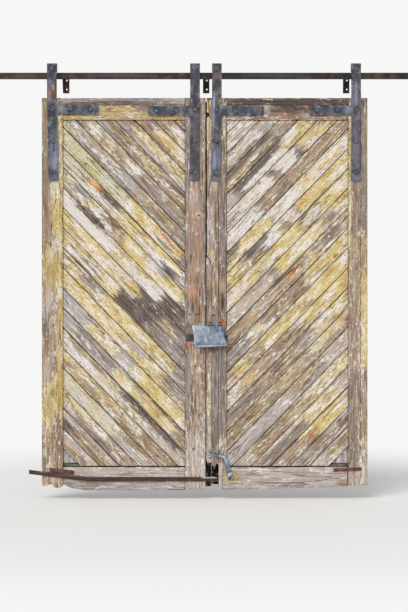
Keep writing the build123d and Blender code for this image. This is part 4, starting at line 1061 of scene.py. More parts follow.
# %% Lay the boards of both leaves
foot_gap = mm(6)
nail_inset, nail_from_edge, nail_clear = mm(30), mm(24), mm(20)
stray_along, stray_across = mm(8), mm(6)
narrowest_board, narrowest_nailed = mm(12), mm(60)
nail_places = {"left": [], "right": []}
nail_chance = random.Random(7)


def board_nails(leaf, lay, width, box_low, box_high):
    """Two nails near each end of a board, where the end lies on a stile."""
    if width < narrowest_nailed:
        return
    for sideways in (nail_from_edge, width - nail_from_edge):
        enter, leave = clip(lay, sideways, box_low, box_high)
        for along, inward in ((enter, 1), (leave, -1)):
            place = lay.place(along + inward * (nail_inset + nail_chance.uniform(-stray_along, stray_along)),
                              sideways + nail_chance.uniform(-stray_across, stray_across), board_thickness)
            if box_low.z + nail_clear < place.z < box_high.z - nail_clear:
                nail_places[leaf].append(place)


def lay_boards(leaf, states):
    """All the boards of one leaf, from the lowest to the one in the top corner."""
    plan = leaf_boards[leaf]
    side, board_cover = plan["side"], plan["cover"]
    box_low, box_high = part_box(f"{leaf}_diagonal_boards")
    box_low.z += foot_gap
    outer = box_low.x - mm(1) if side > 0 else box_high.x + mm(1)
    grain = (side * math.cos(board_lean), -math.sin(board_lean))
    across = (side * math.sin(board_lean), math.cos(board_lean))
    corners = [(x, z) for z in (box_high.z, box_low.z) for x in (box_low.x, box_high.x)]
    rise = board_cover / math.cos(board_lean)
    whole_run = (box_high.x - box_low.x) / math.cos(board_lean)
    shrinkage = random.Random(plan["chance"])

    def border(point):
        return min(point.x - box_low.x, box_high.x - point.x, point.z - box_low.z, box_high.z - point.z)

    made = []
    for number, patches in enumerate(states):
        seed = plan["first_seed"] + number
        shrunk, sunk = mm(shrinkage.choice((0, 0.6, 1.2, 3))), mm(shrinkage.uniform(0, 1.8))
        start = left_foot + plan["lowest"] + number * rise
        lay = Lay(outer, start, grain, across, board_back, board_thickness - sunk)
        reach = [lay.read(Vector((x, 0, z)))[1] for x, z in corners]
        width = min(board_cover - board_joint, max(reach) - mm(2))
        if width < narrowest_board:
            continue
        kinks = [place for place in reach if edge_round * 2 < place < width - edge_round * 2]
        enter, leave = clip(lay, width / 2, box_low, box_high)
        count = max(3, math.ceil((leave - enter) / board_step))

        def run(sideways):
            begin, end = clip(lay, min(sideways, width), box_low, box_high)
            return [begin + (end - begin) * step / count for step in range(count + 1)]

        def sides(along):
            return shrunk, width

        shell = bmesh.new()
        add_plank(shell, lay, sides, run, seed, mm(8), tongue_and_groove, kinks)
        name = f"{leaf}_board_{number + 1:02d}"
        made.append(finish_piece(name, shell, lay, sides, whole_run, patches, seed, f"{leaf}_leaf",
                                 f"{leaf}_diagonal_boards", board_finish, border=border))
        board_nails(leaf, lay, width, box_low, box_high)
    return made


left_boards = lay_boards("left", left_board_states)
right_boards = lay_boards("right", right_board_states)
print("boards laid:", len(left_boards), len(right_boards))

# %% [markdown]
# ## Frame timbers
#
# Stiles stand at the edges of each leaf and rails lie between them. They are thicker than the boards and
# stand proud of them. The outer stile of the left leaf has rotted into two tongues at its foot, and the
# plank at the meeting edge of the right leaf has lost its foot altogether. Such a foot could be cut off
# with a ragged cutter, which leaves long thin faces. Here it is drawn as an uneven line that the rings are
# pulled down to, so the grain and the worn edges follow it. Two boxes that just touch leave a slit of light
# between their rounded edges, so a timber may grow a little into its neighbour.

# %% A helper for upright and level timbers
timber_step = mm(12)
joint_fill = mm(1.2)
cutter_margin = mm(5)


def frame_timber(node, upright, states, seed, sides=None, foot=None, zone=mm(120), extra=(), cutters=(),
                 thickness=frame_thickness, back=frame_back, more=None, border=None, grow=(0.0, 0.0)):
    """A timber in the box of its node; sides and foot are measured from the box's lower left corner.

    grow makes it wider on its left and right, so that it closes the joint to its neighbour.
    """
    low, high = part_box(node)
    leaf = node.split("_")[0]
    width, length = (high.x - low.x, high.z - low.z) if upright else (high.z - low.z, high.x - low.x)
    grain, across = ((0, 1), (1, 0)) if upright else ((1, 0), (0, 1))
    lay = Lay(low.x, low.z, grain, across, back, thickness)
    sides = sides or (lambda along: (-grow[0], width + grow[1]))
    levels = even_steps(0.0, length, timber_step, extra)
    run = footed_run(levels, foot, zone) if foot else (lambda sideways: levels)
    shell = bmesh.new()
    add_plank(shell, lay, sides, run, seed)
    if more:
        more(shell, lay, seed)
    return finish_piece(f"{node}_timber", shell, lay, sides, length, states, seed, f"{leaf}_leaf", node,
                        frame_finishes[leaf], cutters, border)


def box_cutter(left, right, bottom, top, start, end):
    outline = [(left, bottom), (right, bottom), (right, top), (left, top)]
    return prism("cutter", outline, start, end)


print("timbers grow", round(joint_fill * 1000, 1), "mm into their neighbours where a joint would gape")

# %% [markdown]
# The outer stile runs up beside the cap, which is let into it, so a housing is cut out of its top. Its foot
# has rotted from below. Straw paint has held on in its middle, and its outer edge is bare. The meeting
# stile is nearly bare all over.

# %% Stiles of the left leaf
stile_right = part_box("left_outer_stile")[1].x
cap_low, cap_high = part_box("left_top_cap")
stile_foot = line_between([(0, mm(22)), (mm(22), mm(14)), (mm(58), mm(24)), (mm(66), mm(58)),
                           (mm(78), mm(26)), (mm(96), mm(4)), (mm(140), 0), (mm(162), mm(18))])
cap_housing = box_cutter(cap_low.x - mm(1), stile_right + cutter_margin, cap_low.z - mm(1),
                         cap_high.z + cutter_margin, frame_back - cutter_margin, leaf_face + cutter_margin)
left_outer_states = [
    ("trace", 0, 1), ("tan", 0, 0.12), ("umber", 0.08, 0.2, 0.55, 1), ("worn", 0.15, 0.22, 0, 0.6),
    ("ochre", 0.18, 0.27, 0.2, 1), ("ochre", 0.2, 0.5, 0.74, 1), ("pink", 0.27, 0.32, 0, 0.4),
    ("tan", 0.3, 0.46, 0.1, 0.74), ("trace", 0.34, 0.42, 0.4, 0.8), ("ash", 0.38, 0.45, 0, 0.4),
    ("pink", 0.45, 0.54, 0.1, 0.5), ("worn", 0.47, 0.56, 0.5, 1), ("ochre", 0.52, 0.74, 0.1, 1),
    ("chalk", 0.60, 0.65, 0.4, 0.9), ("umber", 0.62, 0.86, 0, 0.4), ("straw", 0.70, 0.80, 0.45, 1),
    ("umber", 0.8, 1.1, 0, 0.6), ("worn", 0.78, 1.1, 0.75, 1),
]
frame_timber("left_outer_stile", True, left_outer_states, 81, foot=stile_foot, cutters=[cap_housing],
             grow=(0.0, joint_fill))

left_meeting_states = [
    ("umber", 0, 1.1), ("ash", 0, 1.1, 0, 0.25), ("pink", 0, 0.16), ("tan", 0.2, 0.42, 0.3, 0.8),
    ("tan", 0.16, 0.3, 0.5, 1), ("umber", 0.5, 0.72, 0.2, 0.7), ("pink", 0.7, 0.78, 0.2, 0.8),
    ("ash", 0.72, 0.8, 0.7, 1), ("tan", 0.74, 1.1, 0.85, 1), ("trace", 0.44, 0.46, 0.3, 0.5),
    ("dusk", 0.395, 0.415, 0, 0.14),
]
frame_timber("left_meeting_stile", True, left_meeting_states, 83, grow=(joint_fill, 0.0))
print("left stiles done")

# %% [markdown]
# The bottom rail of the left leaf sweeps up towards its outer end, where it has rotted, and a thin lip
# stands up along its back edge behind the slanted boards. The lip could be a piece of its own, but it is
# one wood with the rail, so it goes into the same shell. The top rail has kept most of its paint, and the
# cap above it is bare and silver from the rain.

# %% Rails of the left leaf
lip_height, lip_thickness, lip_step = mm(18), mm(20), mm(60)
rail_low, rail_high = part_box("left_bottom_rail")
left_rail_bottom = line_between([(0, mm(46)), (mm(70), mm(14)), (mm(170), 0), (mm(940), 0)])
left_rail_height = rail_high.z - rail_low.z - lip_height


def add_lip(begin, end, bottom):
    """A thin lip along the back of a bottom rail."""
    def more(shell, lay, seed):
        lip = Lay(lay.corner.x, lay.corner.z, (1, 0), (0, 1), frame_back, lip_thickness)
        levels = even_steps(begin, end, lip_step)
        add_plank(shell, lip, lambda along: (bottom - mm(1), bottom + lip_height), lambda sideways: levels,
                  seed + 7)
    return more


left_rail_states = [
    ("silver", 0, 1.1), ("grey", 0, 1.1, 0, 0.44), ("dusk", 0.1, 0.9, 0.36, 0.46),
    ("silver", 0.3, 0.9, 0, 0.3), ("pink", 0, 1.1, 0.8, 1.1), ("grey", 0.45, 0.6, 0.6, 0.8),
]
frame_timber("left_bottom_rail", False, left_rail_states, 85,
             sides=lambda along: (left_rail_bottom(along), left_rail_height),
             extra=(mm(70), mm(170)), more=add_lip(0.0, rail_high.x - rail_low.x, left_rail_height))

left_top_states = [("ochre", 0, 1.1), ("straw", 0.30, 0.42, 0.3, 1), ("brown", 0.56, 0.72, 0.5, 1),
                   ("straw", 0.4, 0.6, 0, 0.8)]
frame_timber("left_top_rail", False, left_top_states, 87)
left_cap_states = [("ash", 0, 1.1), ("silver", 0, 1.1, 0.6, 1), ("dusk", 0.05, 0.4, 0.2, 0.45),
                   ("umber", 0.7, 0.85, 0, 0.6), ("silver", 0.88, 1.1, 0, 0.7)]
frame_timber("left_top_cap", False, left_cap_states, 89)
print("left rails done")

# %% [markdown]
# ## The meeting edge of the right leaf
#
# Two narrow planks make up this stile. The one at the edge has a notch, a bored pocket at its top and a
# rebate that holds a narrow let-in strip, and its foot has rotted to a few teeth. The strip ends in a
# rounded head that nearly fills the notch, so only a thin crack shows around it. A dark line painted along
# the notch would do from the front. As real gaps, crack and pocket keep their depth from the side too.

# %% Planks at the right leaf's meeting edge
plank_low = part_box("right_edge_plank")[0]
strip_low, strip_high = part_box("right_edge_strip")
edge_x, foot_level = plank_low.x, plank_low.z
rebate_width, strip_depth = mm(41), mm(22)
pocket_radius, pocket_depth, pocket_sides = mm(17.5), mm(42), 40


def above_foot(*points):
    """Foot points given as millimetres in from the edge and metres of height on the door."""
    return line_between([(mm(place), height - foot_level) for place, height in points])


plank_foot = above_foot((0, left_foot + mm(205)), (28, left_foot + mm(207)), (44, left_foot + mm(193)),
                        (59, left_foot + mm(164)), (71, left_foot + mm(200)), (90, left_foot + mm(204)))
notch_outline = [(-6, 66), (6, 64), (15, 55), (24, 42), (32, 20), (35, 4), (35, -4), (-6, -4)]
notch = prism("cutter", [(edge_x + mm(place), strip_high.z + mm(height)) for place, height in notch_outline],
              frame_back - cutter_margin, leaf_face + cutter_margin)
rebate = box_cutter(edge_x - cutter_margin, edge_x + rebate_width, foot_level - mm(20), strip_high.z,
                    leaf_face - strip_depth, leaf_face + cutter_margin)
hole_x, hole_z = edge_x + mm(4.5), leaf_top - mm(130)
hole_angles = [math.tau * turn / pocket_sides for turn in range(pocket_sides)]
hole_outline = [(hole_x + pocket_radius * math.cos(angle), hole_z + pocket_radius * math.sin(angle))
                for angle in hole_angles]
pocket = prism("cutter", hole_outline, leaf_face - pocket_depth, leaf_face + cutter_margin)
edge_states = [
    ("umber", 0, 1.1), ("ash", 0.02, 0.4, 0.5, 1), ("tan", 0.4, 0.58), ("umber", 0.46, 0.52, 0.6, 1),
    ("rust", 0.44, 0.52, 0.86, 1.0), ("pink", 0.6, 0.72, 0, 0.6), ("tan", 0.7, 0.84, 0, 0.7),
    ("pink", 0.76, 0.88, 0.2, 0.8), ("trace", 0.84, 1.1, 0, 0.5), ("worn", 0.88, 1.1, 0, 0.35),
]


def in_pocket(point):
    """0 in the bored pocket, so that its walls get the dark joint colour as painted shade, and a large
    distance outside it.
    """
    return 0.0 if math.hypot(point.x - hole_x, point.z - hole_z) < pocket_radius + mm(0.3) else 1.0


# The bored pocket is darkened as painted shade through its edge distance.
frame_timber("right_edge_plank", True, edge_states, 91, foot=plank_foot, cutters=[notch, rebate, pocket],
             border=in_pocket)
print("edge plank cut")

# %% [markdown]
# The strip is a shell of two planks: a long straight one, and a short one whose right edge is the round of
# the head. Its distance to an edge is measured to the top of the head, or a dark joint line of dirt and
# painted shade would be drawn across it. The inner plank is cut back at its foot, where the bottom rail laps
# under it.

# %% Let-in strip and inner plank
strip_foot = line_between([(0, mm(30)), (mm(8), 0), (mm(22), mm(4)), (mm(42), mm(10))])
strip_states = [("umber", 0, 1.1), ("tan", 0.3, 0.6), ("worn", 0.12, 0.5, 0.3, 0.75),
                ("tan", 0.5, 1, 0.4, 1), ("pink", 0, 0.12), ("ash", 0.6, 1.1, 0, 0.4), ("clean", 0.99, 1.1)]
head_height, strip_proud = mm(60), mm(2.6)
head_right = line_between([(0, mm(32)), (mm(20), mm(28)), (mm(42), mm(20)), (mm(54), mm(10)),
                           (head_height, mm(4))])


def add_head(shell, lay, seed):
    """The rounded head of the let-in strip, which stands in the notch with a thin crack around it."""
    head = Lay(lay.corner.x, strip_high.z - mm(1), (0, 1), (1, 0), lay.back, lay.thickness)
    levels = even_steps(0.0, head_height, mm(5))
    add_plank(shell, head, lambda along: (-strip_proud, head_right(along)), lambda sideways: levels,
              seed + 7)


def strip_border(point):
    """The distance to the strip's foot or to the top of its head, whichever is nearer."""
    return min(point.z - strip_low.z, strip_high.z + head_height - point.z)


frame_timber("right_edge_strip", True, strip_states, 93, foot=strip_foot, zone=mm(60), thickness=strip_depth,
             back=leaf_face - strip_depth, more=add_head, border=strip_border, grow=(strip_proud, 0.0))

inner_low, inner_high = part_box("right_inner_plank")
inner_width = inner_high.x - inner_low.x
corner = mm(0.5)
shoulder, shoulder_depth = left_foot + mm(178) - mm(16) - inner_low.z, mm(31)
neck = inner_width - shoulder_depth
inner_right = line_between([(0, neck), (shoulder - corner, neck), (shoulder + corner, inner_width),
                            (far_off, inner_width)])
inner_foot = line_between([(0, mm(12)), (mm(30), 0), (mm(61), 0)])
inner_states = [("ash", 0, 1.1), ("pink", 0, 0.1), ("umber", 0.1, 0.4, 0.4, 1), ("umber", 0.45, 0.56),
                ("rust", 0.5, 0.525, 0.3, 0.8), ("umber", 0.6, 0.8), ("ash", 0.66, 0.8, 0, 0.5),
                ("brown", 0.8, 1.1), ("dusk", 0.53, 0.57, 0.3, 0.8)]
frame_timber("right_inner_plank", True, inner_states, 95,
             sides=lambda along: (-joint_fill, inner_right(along) + joint_fill),
             foot=inner_foot, zone=mm(40), extra=(shoulder - corner, shoulder + corner))
print("meeting edge done")

# %% [markdown]
# The rest of the right leaf's frame is plain: an outer stile, a cap, a top rail and a bottom rail that laps
# under the inner plank and climbs a little towards the outer end. Its step and its climb could be cut with
# prisms, but two lines for its lower and upper edge say the same in less.

# %% Outer stile and rails of the right leaf
right_outer_states = [
    ("trace", 0, 1.1), ("pink", 0, 0.06), ("dusk", 0.06, 0.16, 0, 0.5), ("ash", 0.1, 0.3, 0, 0.55),
    ("tan", 0.12, 0.3, 0.5, 1), ("umber", 0.16, 0.26, 0.2, 0.6), ("tan", 0.3, 0.5, 0, 0.5),
    ("straw", 0.3, 0.62, 0.6, 1), ("tan", 0.5, 0.62, 0.2, 0.6), ("trace", 0.55, 0.66),
    ("umber", 0.64, 0.86, 0.1, 0.65), ("ash", 0.66, 0.9, 0.6, 1), ("straw", 0.62, 0.84, 0, 0.12),
    ("dusk", 0.64, 0.68, 0.4, 0.7), ("umber", 0.86, 1.1, 0.3, 1), ("worn", 0.82, 1.1, 0, 0.3),
]
frame_timber("right_outer_stile", True, right_outer_states, 97, grow=(joint_fill, 0.0))

rail_low, rail_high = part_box("right_bottom_rail")
right_rail_length = rail_high.x - rail_low.x
right_rail_height = rail_high.z - rail_low.z - lip_height
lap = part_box("right_top_rail")[0].x - rail_low.x
rail_step = mm(17)
right_rail_bottom = line_between([(0, 0), (right_rail_length, mm(26))])
lapped = right_rail_height - rail_step
right_rail_top = line_between([(0, lapped), (lap - corner, lapped), (lap + corner, right_rail_height),
                               (far_off, right_rail_height)])
right_rail_states = [
    ("silver", 0, 1.1), ("pink", 0, 1.1, 0.6, 1), ("ochre", 0.05, 0.12, 0.3, 0.7),
    ("brown", 0.06, 0.1, 0.3, 0.5), ("grey", 0.3, 0.7, 0.1, 0.3), ("silver", 0.5, 1.1, 0.2, 0.8),
    ("brown", 0.92, 1.1, 0, 0.4),
]
frame_timber("right_bottom_rail", False, right_rail_states, 99,
             sides=lambda along: (right_rail_bottom(along), right_rail_top(along)),
             extra=(lap - corner, lap + corner), more=add_lip(lap, right_rail_length, right_rail_height))
right_top_states = [("umber", 0, 1.1), ("dark", 0.36, 0.62, 0.5, 1), ("silver", 0.28, 0.36, 0.5, 1),
                    ("tan", 0.3, 0.6, 0, 0.35), ("dusk", 0.5, 0.72, 0.2, 0.6), ("tan", 0.6, 1.1, 0, 0.4),
                    ("trace", 0, 0.3, 0, 0.3)]
frame_timber("right_top_rail", False, right_top_states, 101)
right_cap_states = [("dusk", 0, 1.1), ("dark", 0.06, 1.1), ("dusk", 0.4, 1.1, 0.6, 1)]
frame_timber("right_top_cap", False, right_cap_states, 103)
print("right frame done")

# %% [markdown]
# ## Wood that stays in the shade
#
# Behind the slanted boards stand upright ones, and ledges cross the back. They are plain pieces whose real
# shapes are already right, so they only get a finish. It is the same recipe, with one word for the whole
# piece. The boards show where a corner board is missing, and there they are a pale, clean grey. Behind the
# rotted foot and the meeting gap, painted shade makes the wood nearly black: the cover strip gets the dark
# word, and near patches of painted shade lie on it and on the ledges.

# %% Backing boards, ledges and cover strip
def dress(names, finish):
    """Gives one finish to real pieces that keep their shape."""
    for name in names:
        materials = bpy.data.objects[name].data.materials
        materials.clear()
        materials.append(finish)


# Near black, for the painted shade behind the rotted foot and the meeting gap.
painted_shade_black = tint(22, 19, 20)
strip_front = mm(42)
dress(["left_backing_boards", "right_backing_boards"],
      weathered_timber("backing_timber", plain=("clean", True)))
dress([f"{leaf}_{ledge}_ledge" for leaf in ("left", "right") for ledge in ("top", "middle", "bottom")],
      weathered_timber("ledge_timber", plain=("grey", False),
                       patches=[(215, 472, 9, 16, painted_shade_black, 1.0, 0, 2.2, frame_back)]))
# The cover strip's dark word and its near patches are painted shade.
dress(["meeting_cover_strip"],
      weathered_timber("cover_strip_timber", plain=("dark", True),
                       patches=[(208, 472, 9, 20, painted_shade_black, 1.0, 0, 2.2, strip_front),
                                (208, 280, 9, 300, painted_shade_black, 0.8, 0, 2.2, strip_front)]))
print("pieces in the shade are dressed")

# %% [markdown]
# ## Old iron
#
# Straps and rail were painted a slate blue long ago. The paint has gone dull and patchy, streaks of dirt
# run down it, and rust shows at the edges. The recipe has three patterns: long streaks along the piece,
# clouds as large as a hand, and grit. Their sum gives the shades, and rust comes where clouds and grit are
# both high. A ready metal would be too clean, and one noise alone looks like camouflage.

# %% Mix the old iron
def old_iron(name, shades, rust, rust_share, streaks, patches=(), metallic=0.3, roughness=0.62):
    """Dull painted iron. shades is dark, middle and light; streaks is how tight they are in X, Y and Z."""
    mixing = Finish(name)
    position = mixing.places()
    patterns = {
        "streaks": even_clouds(mixing, mixing.stretch(position, streaks), roughness=0.62),
        "clouds": even_clouds(mixing, mixing.shift(position, (4, 2, 7)), 17),
        "grit": even_clouds(mixing, mixing.shift(position, (1, 9, 3)), 120, 4),
    }
    tone = blend_of(mixing, patterns, streaks=0.32, clouds=0.44, grit=0.24)
    dark, middle, light = [tint(*steps) for steps in shades]
    colour = mixing.ramp(tone, (0.18, dark), (0.48, middle), (0.82, light))
    worn = blend_of(mixing, patterns, clouds=0.5, grit=0.5)
    rusted = mixing.step(worn, 0.78 - 0.5 * rust_share, 0.92 - 0.5 * rust_share)
    colour = mixing.mix(mixing.times(rusted, 0.85), colour, rust)
    colour = lay_patches(mixing, colour, position, blend_of(mixing, patterns, clouds=0.4, grit=0.6), patches)
    rough = mixing.plus(roughness, mixing.times(rusted, 0.2), clamp=True)
    return mixing.surface(colour, rough, worn, 0.0008, metallic=metallic)


slate = ((33, 33, 37), (77, 77, 82), (142, 142, 149))
rust_red, rust_dull, rust_dark = tint(124, 66, 50), tint(112, 86, 76), tint(104, 66, 50)
down_the_strap, along_the_rail = (34, 34, 15), (6, 60, 60)
print("shades of slate:", len(slate))

# %% [markdown]
# Each hanger has its own patches. The first is darkest where its arm is welded on and clears to a pale blue
# towards its foot. The second has red rust along its right edge. The third is pale at its left edge, and
# the fourth has a light weld and pale streaks above it. A dark ring lies around every bolt. The bolts'
# places could be written down too, but they are read from the real ones, so they stay right if the
# construction changes.

# %% Hangers
pale_blue, mid_blue, night_blue = tint(146, 156, 180), tint(104, 114, 140), tint(42, 45, 54)
weld_green, grey_pink, arm_blue = tint(150, 156, 140), tint(150, 134, 134), tint(64, 72, 88)
hanger_patches = {
    "left_outer": [
        (53, 72, 5, 7, night_blue, 0.7), (54, 112, 4, 20, night_blue, 0.65), (50, 86, 1.6, 6, mid_blue),
        (51.5, 90, 3.6, 6, tint(112, 88, 78), 0.75), (53.2, 87, 1.3, 4, tint(196, 168, 122), 0.5),
        (49.6, 93, 1.3, 3.4, tint(176, 128, 92), 0.6), (54.6, 94, 1.2, 3, rust_red, 0.7),
        (54, 155, 4.5, 20, mid_blue, 0.75), (55, 160, 2.5, 14, pale_blue, 0.65),
        (54, 148, 0.8, 9, night_blue, 0.9), (60.5, 108, 3.4, 4.2, weld_green, 0.6),
        (71, 110, 4, 3.4, night_blue, 0.8), (54, 183, 5, 1.6, grey_pink, 0.8),
        (58, 120, 1, 22, mid_blue, 0.6), (84, 110, 17, 4.4, arm_blue, 0.6, 0, 1),
    ],
    "left_inner": [
        (195, 80, 4, 12, tint(66, 70, 82), 0.7), (197, 94.5, 1.5, 1.3, tint(160, 100, 76), 0.65),
        (191.5, 100.5, 1.0, 2.5, pale_blue, 0.8), (201, 133, 1.3, 6, rust_red, 0.75),
        (201.5, 152, 1.4, 8, rust_red, 0.7), (194, 104, 4, 8, night_blue, 0.6),
        (195, 130, 3, 12, mid_blue, 0.5), (194, 158, 4, 12, tint(72, 80, 96), 0.6),
        (198, 119, 1.4, 6, pale_blue, 0.35), (195, 180, 4.5, 3, rust_dull, 0.5),
        (164, 111, 17, 4.4, arm_blue, 0.55, 0, 1), (200, 140, 3, 46, tint(92, 70, 70), 0.5),
        (195.5, 140, 5, 60, tint(66, 56, 62), 0.45, 0, 1),
    ],
    "right_inner": [
        (217, 78, 4, 9, tint(96, 74, 66), 0.7), (216.5, 87, 4.5, 7, night_blue, 0.7),
        (214, 104, 1.3, 10, pale_blue, 0.9), (221.5, 104, 1.4, 6, pale_blue, 0.7),
        (217.5, 105, 2, 6, rust_dull, 0.75), (213.2, 120, 1.0, 14, pale_blue, 0.6),
        (218, 122, 3, 8, tint(66, 68, 90), 0.6), (216.5, 156, 4, 14, mid_blue, 0.7),
        (214.5, 160, 1.5, 12, pale_blue, 0.7), (213.4, 169.5, 1.0, 2.0, tint(176, 82, 76), 0.7),
        (216, 180, 5, 3, grey_pink, 0.5), (219, 140, 2.5, 8, tint(84, 76, 82), 0.6),
        (244, 110.5, 18, 4.4, arm_blue, 0.6, 0, 1),
    ],
    "right_outer": [
        (356, 76, 4, 8, night_blue, 0.7), (356, 92, 1.4, 12, pale_blue, 0.6),
        (348, 109, 4, 4, pale_blue, 0.5), (354, 100, 2, 8, mid_blue, 0.6),
        (357, 145, 3.5, 16, tint(88, 94, 116), 0.7), (356, 178, 4.5, 4, mid_blue, 0.5),
        (329, 110.5, 15, 4.4, arm_blue, 0.6, 0, 1), (356, 140, 5, 60, tint(136, 128, 132), 0.25, 0, 1),
        (360.4, 140, 0.9, 34, tint(60, 58, 66), 0.7), (358, 125, 3, 9, night_blue, 0.4),
    ],
}


def to_picture(x, z):
    """The picture pixel that shows a place on the door."""
    return x / picture_pixel + meeting_column, rail_row - z / picture_pixel


def middles_of(node):
    """The middles, in X and Z, of the pieces in a group of bolts, found by walking over their edges."""
    shell = bmesh.new()
    shell.from_mesh(bpy.data.objects[node].data)
    waiting = set(shell.verts)
    middles = set()
    while waiting:
        walk, found = [waiting.pop()], []
        while walk:
            point = walk.pop()
            found.append(point.co.copy())
            near = [edge.other_vert(point) for edge in point.link_edges]
            walk += [other for other in near if other in waiting]
            waiting.difference_update(near)
        across, up = [place.x for place in found], [place.z for place in found]
        middles.add((round((min(across) + max(across)) / 2, 3), round((min(up) + max(up)) / 2, 3)))
    shell.free()
    return sorted(middles)


# Each bolt gets a soft dark ring on its strap.
bolt_ring_dark, bolt_ring_reach = tint(38, 39, 46), 2.9
for strap, patches in hanger_patches.items():
    low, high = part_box(f"{strap}_hanger")
    leaf = strap.split("_")[0]
    bolts = [to_picture(x, z) for x, z in middles_of(f"{leaf}_hanger_bolts") if low.x < x < high.x]
    bolt_rings = [(column, row, bolt_ring_reach, bolt_ring_reach, bolt_ring_dark, 0.7) for column, row in bolts]
    dress([f"{strap}_hanger"],
          old_iron(f"strap_iron_{strap}", slate, rust_dull, 0.2, down_the_strap, patches + bolt_rings))
    print(strap, "hanger dressed, bolts:", len(bolts))

# %% [markdown]
# The rail is browner and darker than the straps, with streaks along its length. Brackets and end stops are
# the same rusty iron. Wheels are dark iron, and their treads would be bright, so they are a little more
# metallic. All of them could share one iron, but then the rail would look as painted as the straps.

# %% Rail, brackets, wheels and bolts
rusty_brown = ((24, 19, 18), (43, 36, 34), (75, 65, 62))
rail_patches = [(120, 75, 30, 2, tint(98, 84, 86), 0.5), (275, 75, 26, 2, tint(70, 78, 92), 0.5),
                (24, 75, 14, 2, tint(84, 80, 84), 0.5)]
dress(["rail"], old_iron("rail_iron", rusty_brown, rust_dark, 0.3, along_the_rail, rail_patches))
brackets = [f"rail_bracket_{place}" for place in ("far_left", "left", "middle", "right", "far_right")]
dress(brackets + ["rail_stops"], old_iron("bracket_iron", rusty_brown, rust_dark, 0.4, down_the_strap))
wheel_iron = old_iron("wheel_iron", ((40, 40, 44), (70, 70, 76), (120, 120, 128)), rust_dull, 0.3,
                      (40, 40, 40), metallic=0.7, roughness=0.5)
dress([f"{strap}_wheel" for strap in hanger_patches], wheel_iron)
dark_bolts = old_iron("bolt_iron", ((52, 54, 62), (84, 88, 100), (136, 142, 158)), rust_dull, 0.3,
                      (90, 90, 90), metallic=0.4)
bolt_groups = [f"{leaf}_{kind}" for leaf in ("left", "right")
               for kind in ("axle_bolts", "axle_nuts", "hanger_bolts", "hanger_nuts")]
dress(bolt_groups + ["stop_bolts", "stop_nuts"], dark_bolts)
print("rail, wheels and bolts dressed")

# %% [markdown]
# The flat irons at the foot were never painted, so their colour is rust throughout, rough and hardly
# metallic. The screws are the same, and the lock plates are nearly black. None of them needs a recipe of its
# own: other shades and a higher roughness turn the old iron into bare rust.

# %% Flat irons, lock plates and screws
red_iron = ((38, 27, 24), (70, 52, 45), (108, 86, 78))
# The light lines along the bar are painted highlights.
bar_patches = [(46, 471, 9, 2, tint(126, 94, 88), 0.6), (210, 477.4, 9, 0.9, tint(190, 184, 176), 0.95),
               (90, 475.8, 50, 0.8, tint(128, 106, 96), 0.5)]
dress(["bottom_bar"], old_iron("bar_iron", red_iron, tint(70, 46, 40), 0.5, along_the_rail, bar_patches,
                               metallic=0.1, roughness=0.8))
plate_iron = ((66, 40, 38), (108, 72, 66), (150, 116, 110))
dress(["left_mending_plate", "right_mending_plate"],
      old_iron("mending_iron", plate_iron, tint(98, 52, 44), 0.5, (40, 40, 40), metallic=0.1, roughness=0.8))
dress(["left_lock_plate", "right_lock_plate"],
      old_iron("lock_iron", ((34, 33, 35), (60, 58, 60), (102, 98, 100)), rust_dull, 0.25, (50, 50, 50)))
dress(["left_screws", "right_screws"],
      old_iron("screw_iron", ((44, 32, 28), (84, 62, 54), (128, 104, 94)), tint(92, 54, 40), 0.5,
               (90, 90, 90), metallic=0.2))
print("flat irons dressed")

# %% [markdown]
# ## Galvanised sheet and pipe
#
# Zinc keeps a cool blue-grey shine. On the hood it is brushed up and down; painted highlights brighten its
# lit top and its folded edges, and painted shade darkens the slot and the hinge side at its top. The bent
# pipe gets painted highlights on its bends and its hammered ends, and painted shade along its right side. A
# full metal would mirror the pale studio and turn white, so this finish is less than half metallic.

# %% Hood and pull handle
def galvanised(name, shades, brush, patches, roughness=0.42):
    """Zinc: fine brushed lines, slow cloudy tones and listed patches."""
    mixing = Finish(name)
    position = mixing.places()
    patterns = {
        "brushed": even_clouds(mixing, mixing.stretch(position, brush), detail=4),
        "clouds": even_clouds(mixing, position, 22, 4, 0.55),
    }
    tone = blend_of(mixing, patterns, brushed=0.6, clouds=0.4)
    dark, middle, light = [tint(*steps) for steps in shades]
    colour = mixing.ramp(tone, (0.15, dark), (0.5, middle), (0.85, light))
    colour = lay_patches(mixing, colour, position, patterns["brushed"], patches)
    rough = mixing.plus(roughness, mixing.times(patterns["clouds"], 0.2))
    return mixing.surface(colour, rough, tone, 0.0009, metallic=0.45, specular=0.5)


zinc = ((64, 76, 92), (114, 126, 142), (180, 190, 204))
zinc_highlight, zinc_shade = tint(226, 228, 240), tint(74, 80, 96)
# Bright patches on the top, the folded left edge, the hem and the right edge are painted highlights; the
# darkest ones at the top are painted shade.
hood_patches = [
    (200, 327, 8, 2.4, tint(192, 198, 208), 0.6), (197.5, 333, 4, 7, tint(172, 178, 194), 0.5),
    (193, 331, 0.9, 6, zinc_highlight, 0.9), (195.2, 342, 0.8, 5, tint(206, 210, 220), 0.8),
    (211, 345.9, 18, 0.7, tint(196, 198, 214), 0.8), (225.8, 341, 0.7, 5, tint(190, 196, 210), 0.6),
    (210.8, 326.1, 3.6, 1.2, zinc_shade, 0.9), (220.4, 330.6, 2.2, 2.4, tint(82, 92, 108), 0.85),
    (219.2, 327.2, 3, 1.6, tint(92, 120, 140), 0.8), (219, 339, 6, 5, tint(128, 144, 170), 0.5),
    (209, 334, 5, 6, tint(148, 160, 172), 0.5),
]
dress(["lock_hood"], galvanised("hood_zinc", zinc, (90, 90, 16), hood_patches))
dress(["hood_hinge_plate", "hood_hinge_pin"],
      old_iron("hinge_iron", ((92, 84, 84), (142, 132, 132), (182, 172, 174)), tint(134, 104, 84), 0.25,
               (50, 50, 50), [(221.5, 323, 3, 3, tint(150, 100, 58), 0.8)], roughness=0.8))
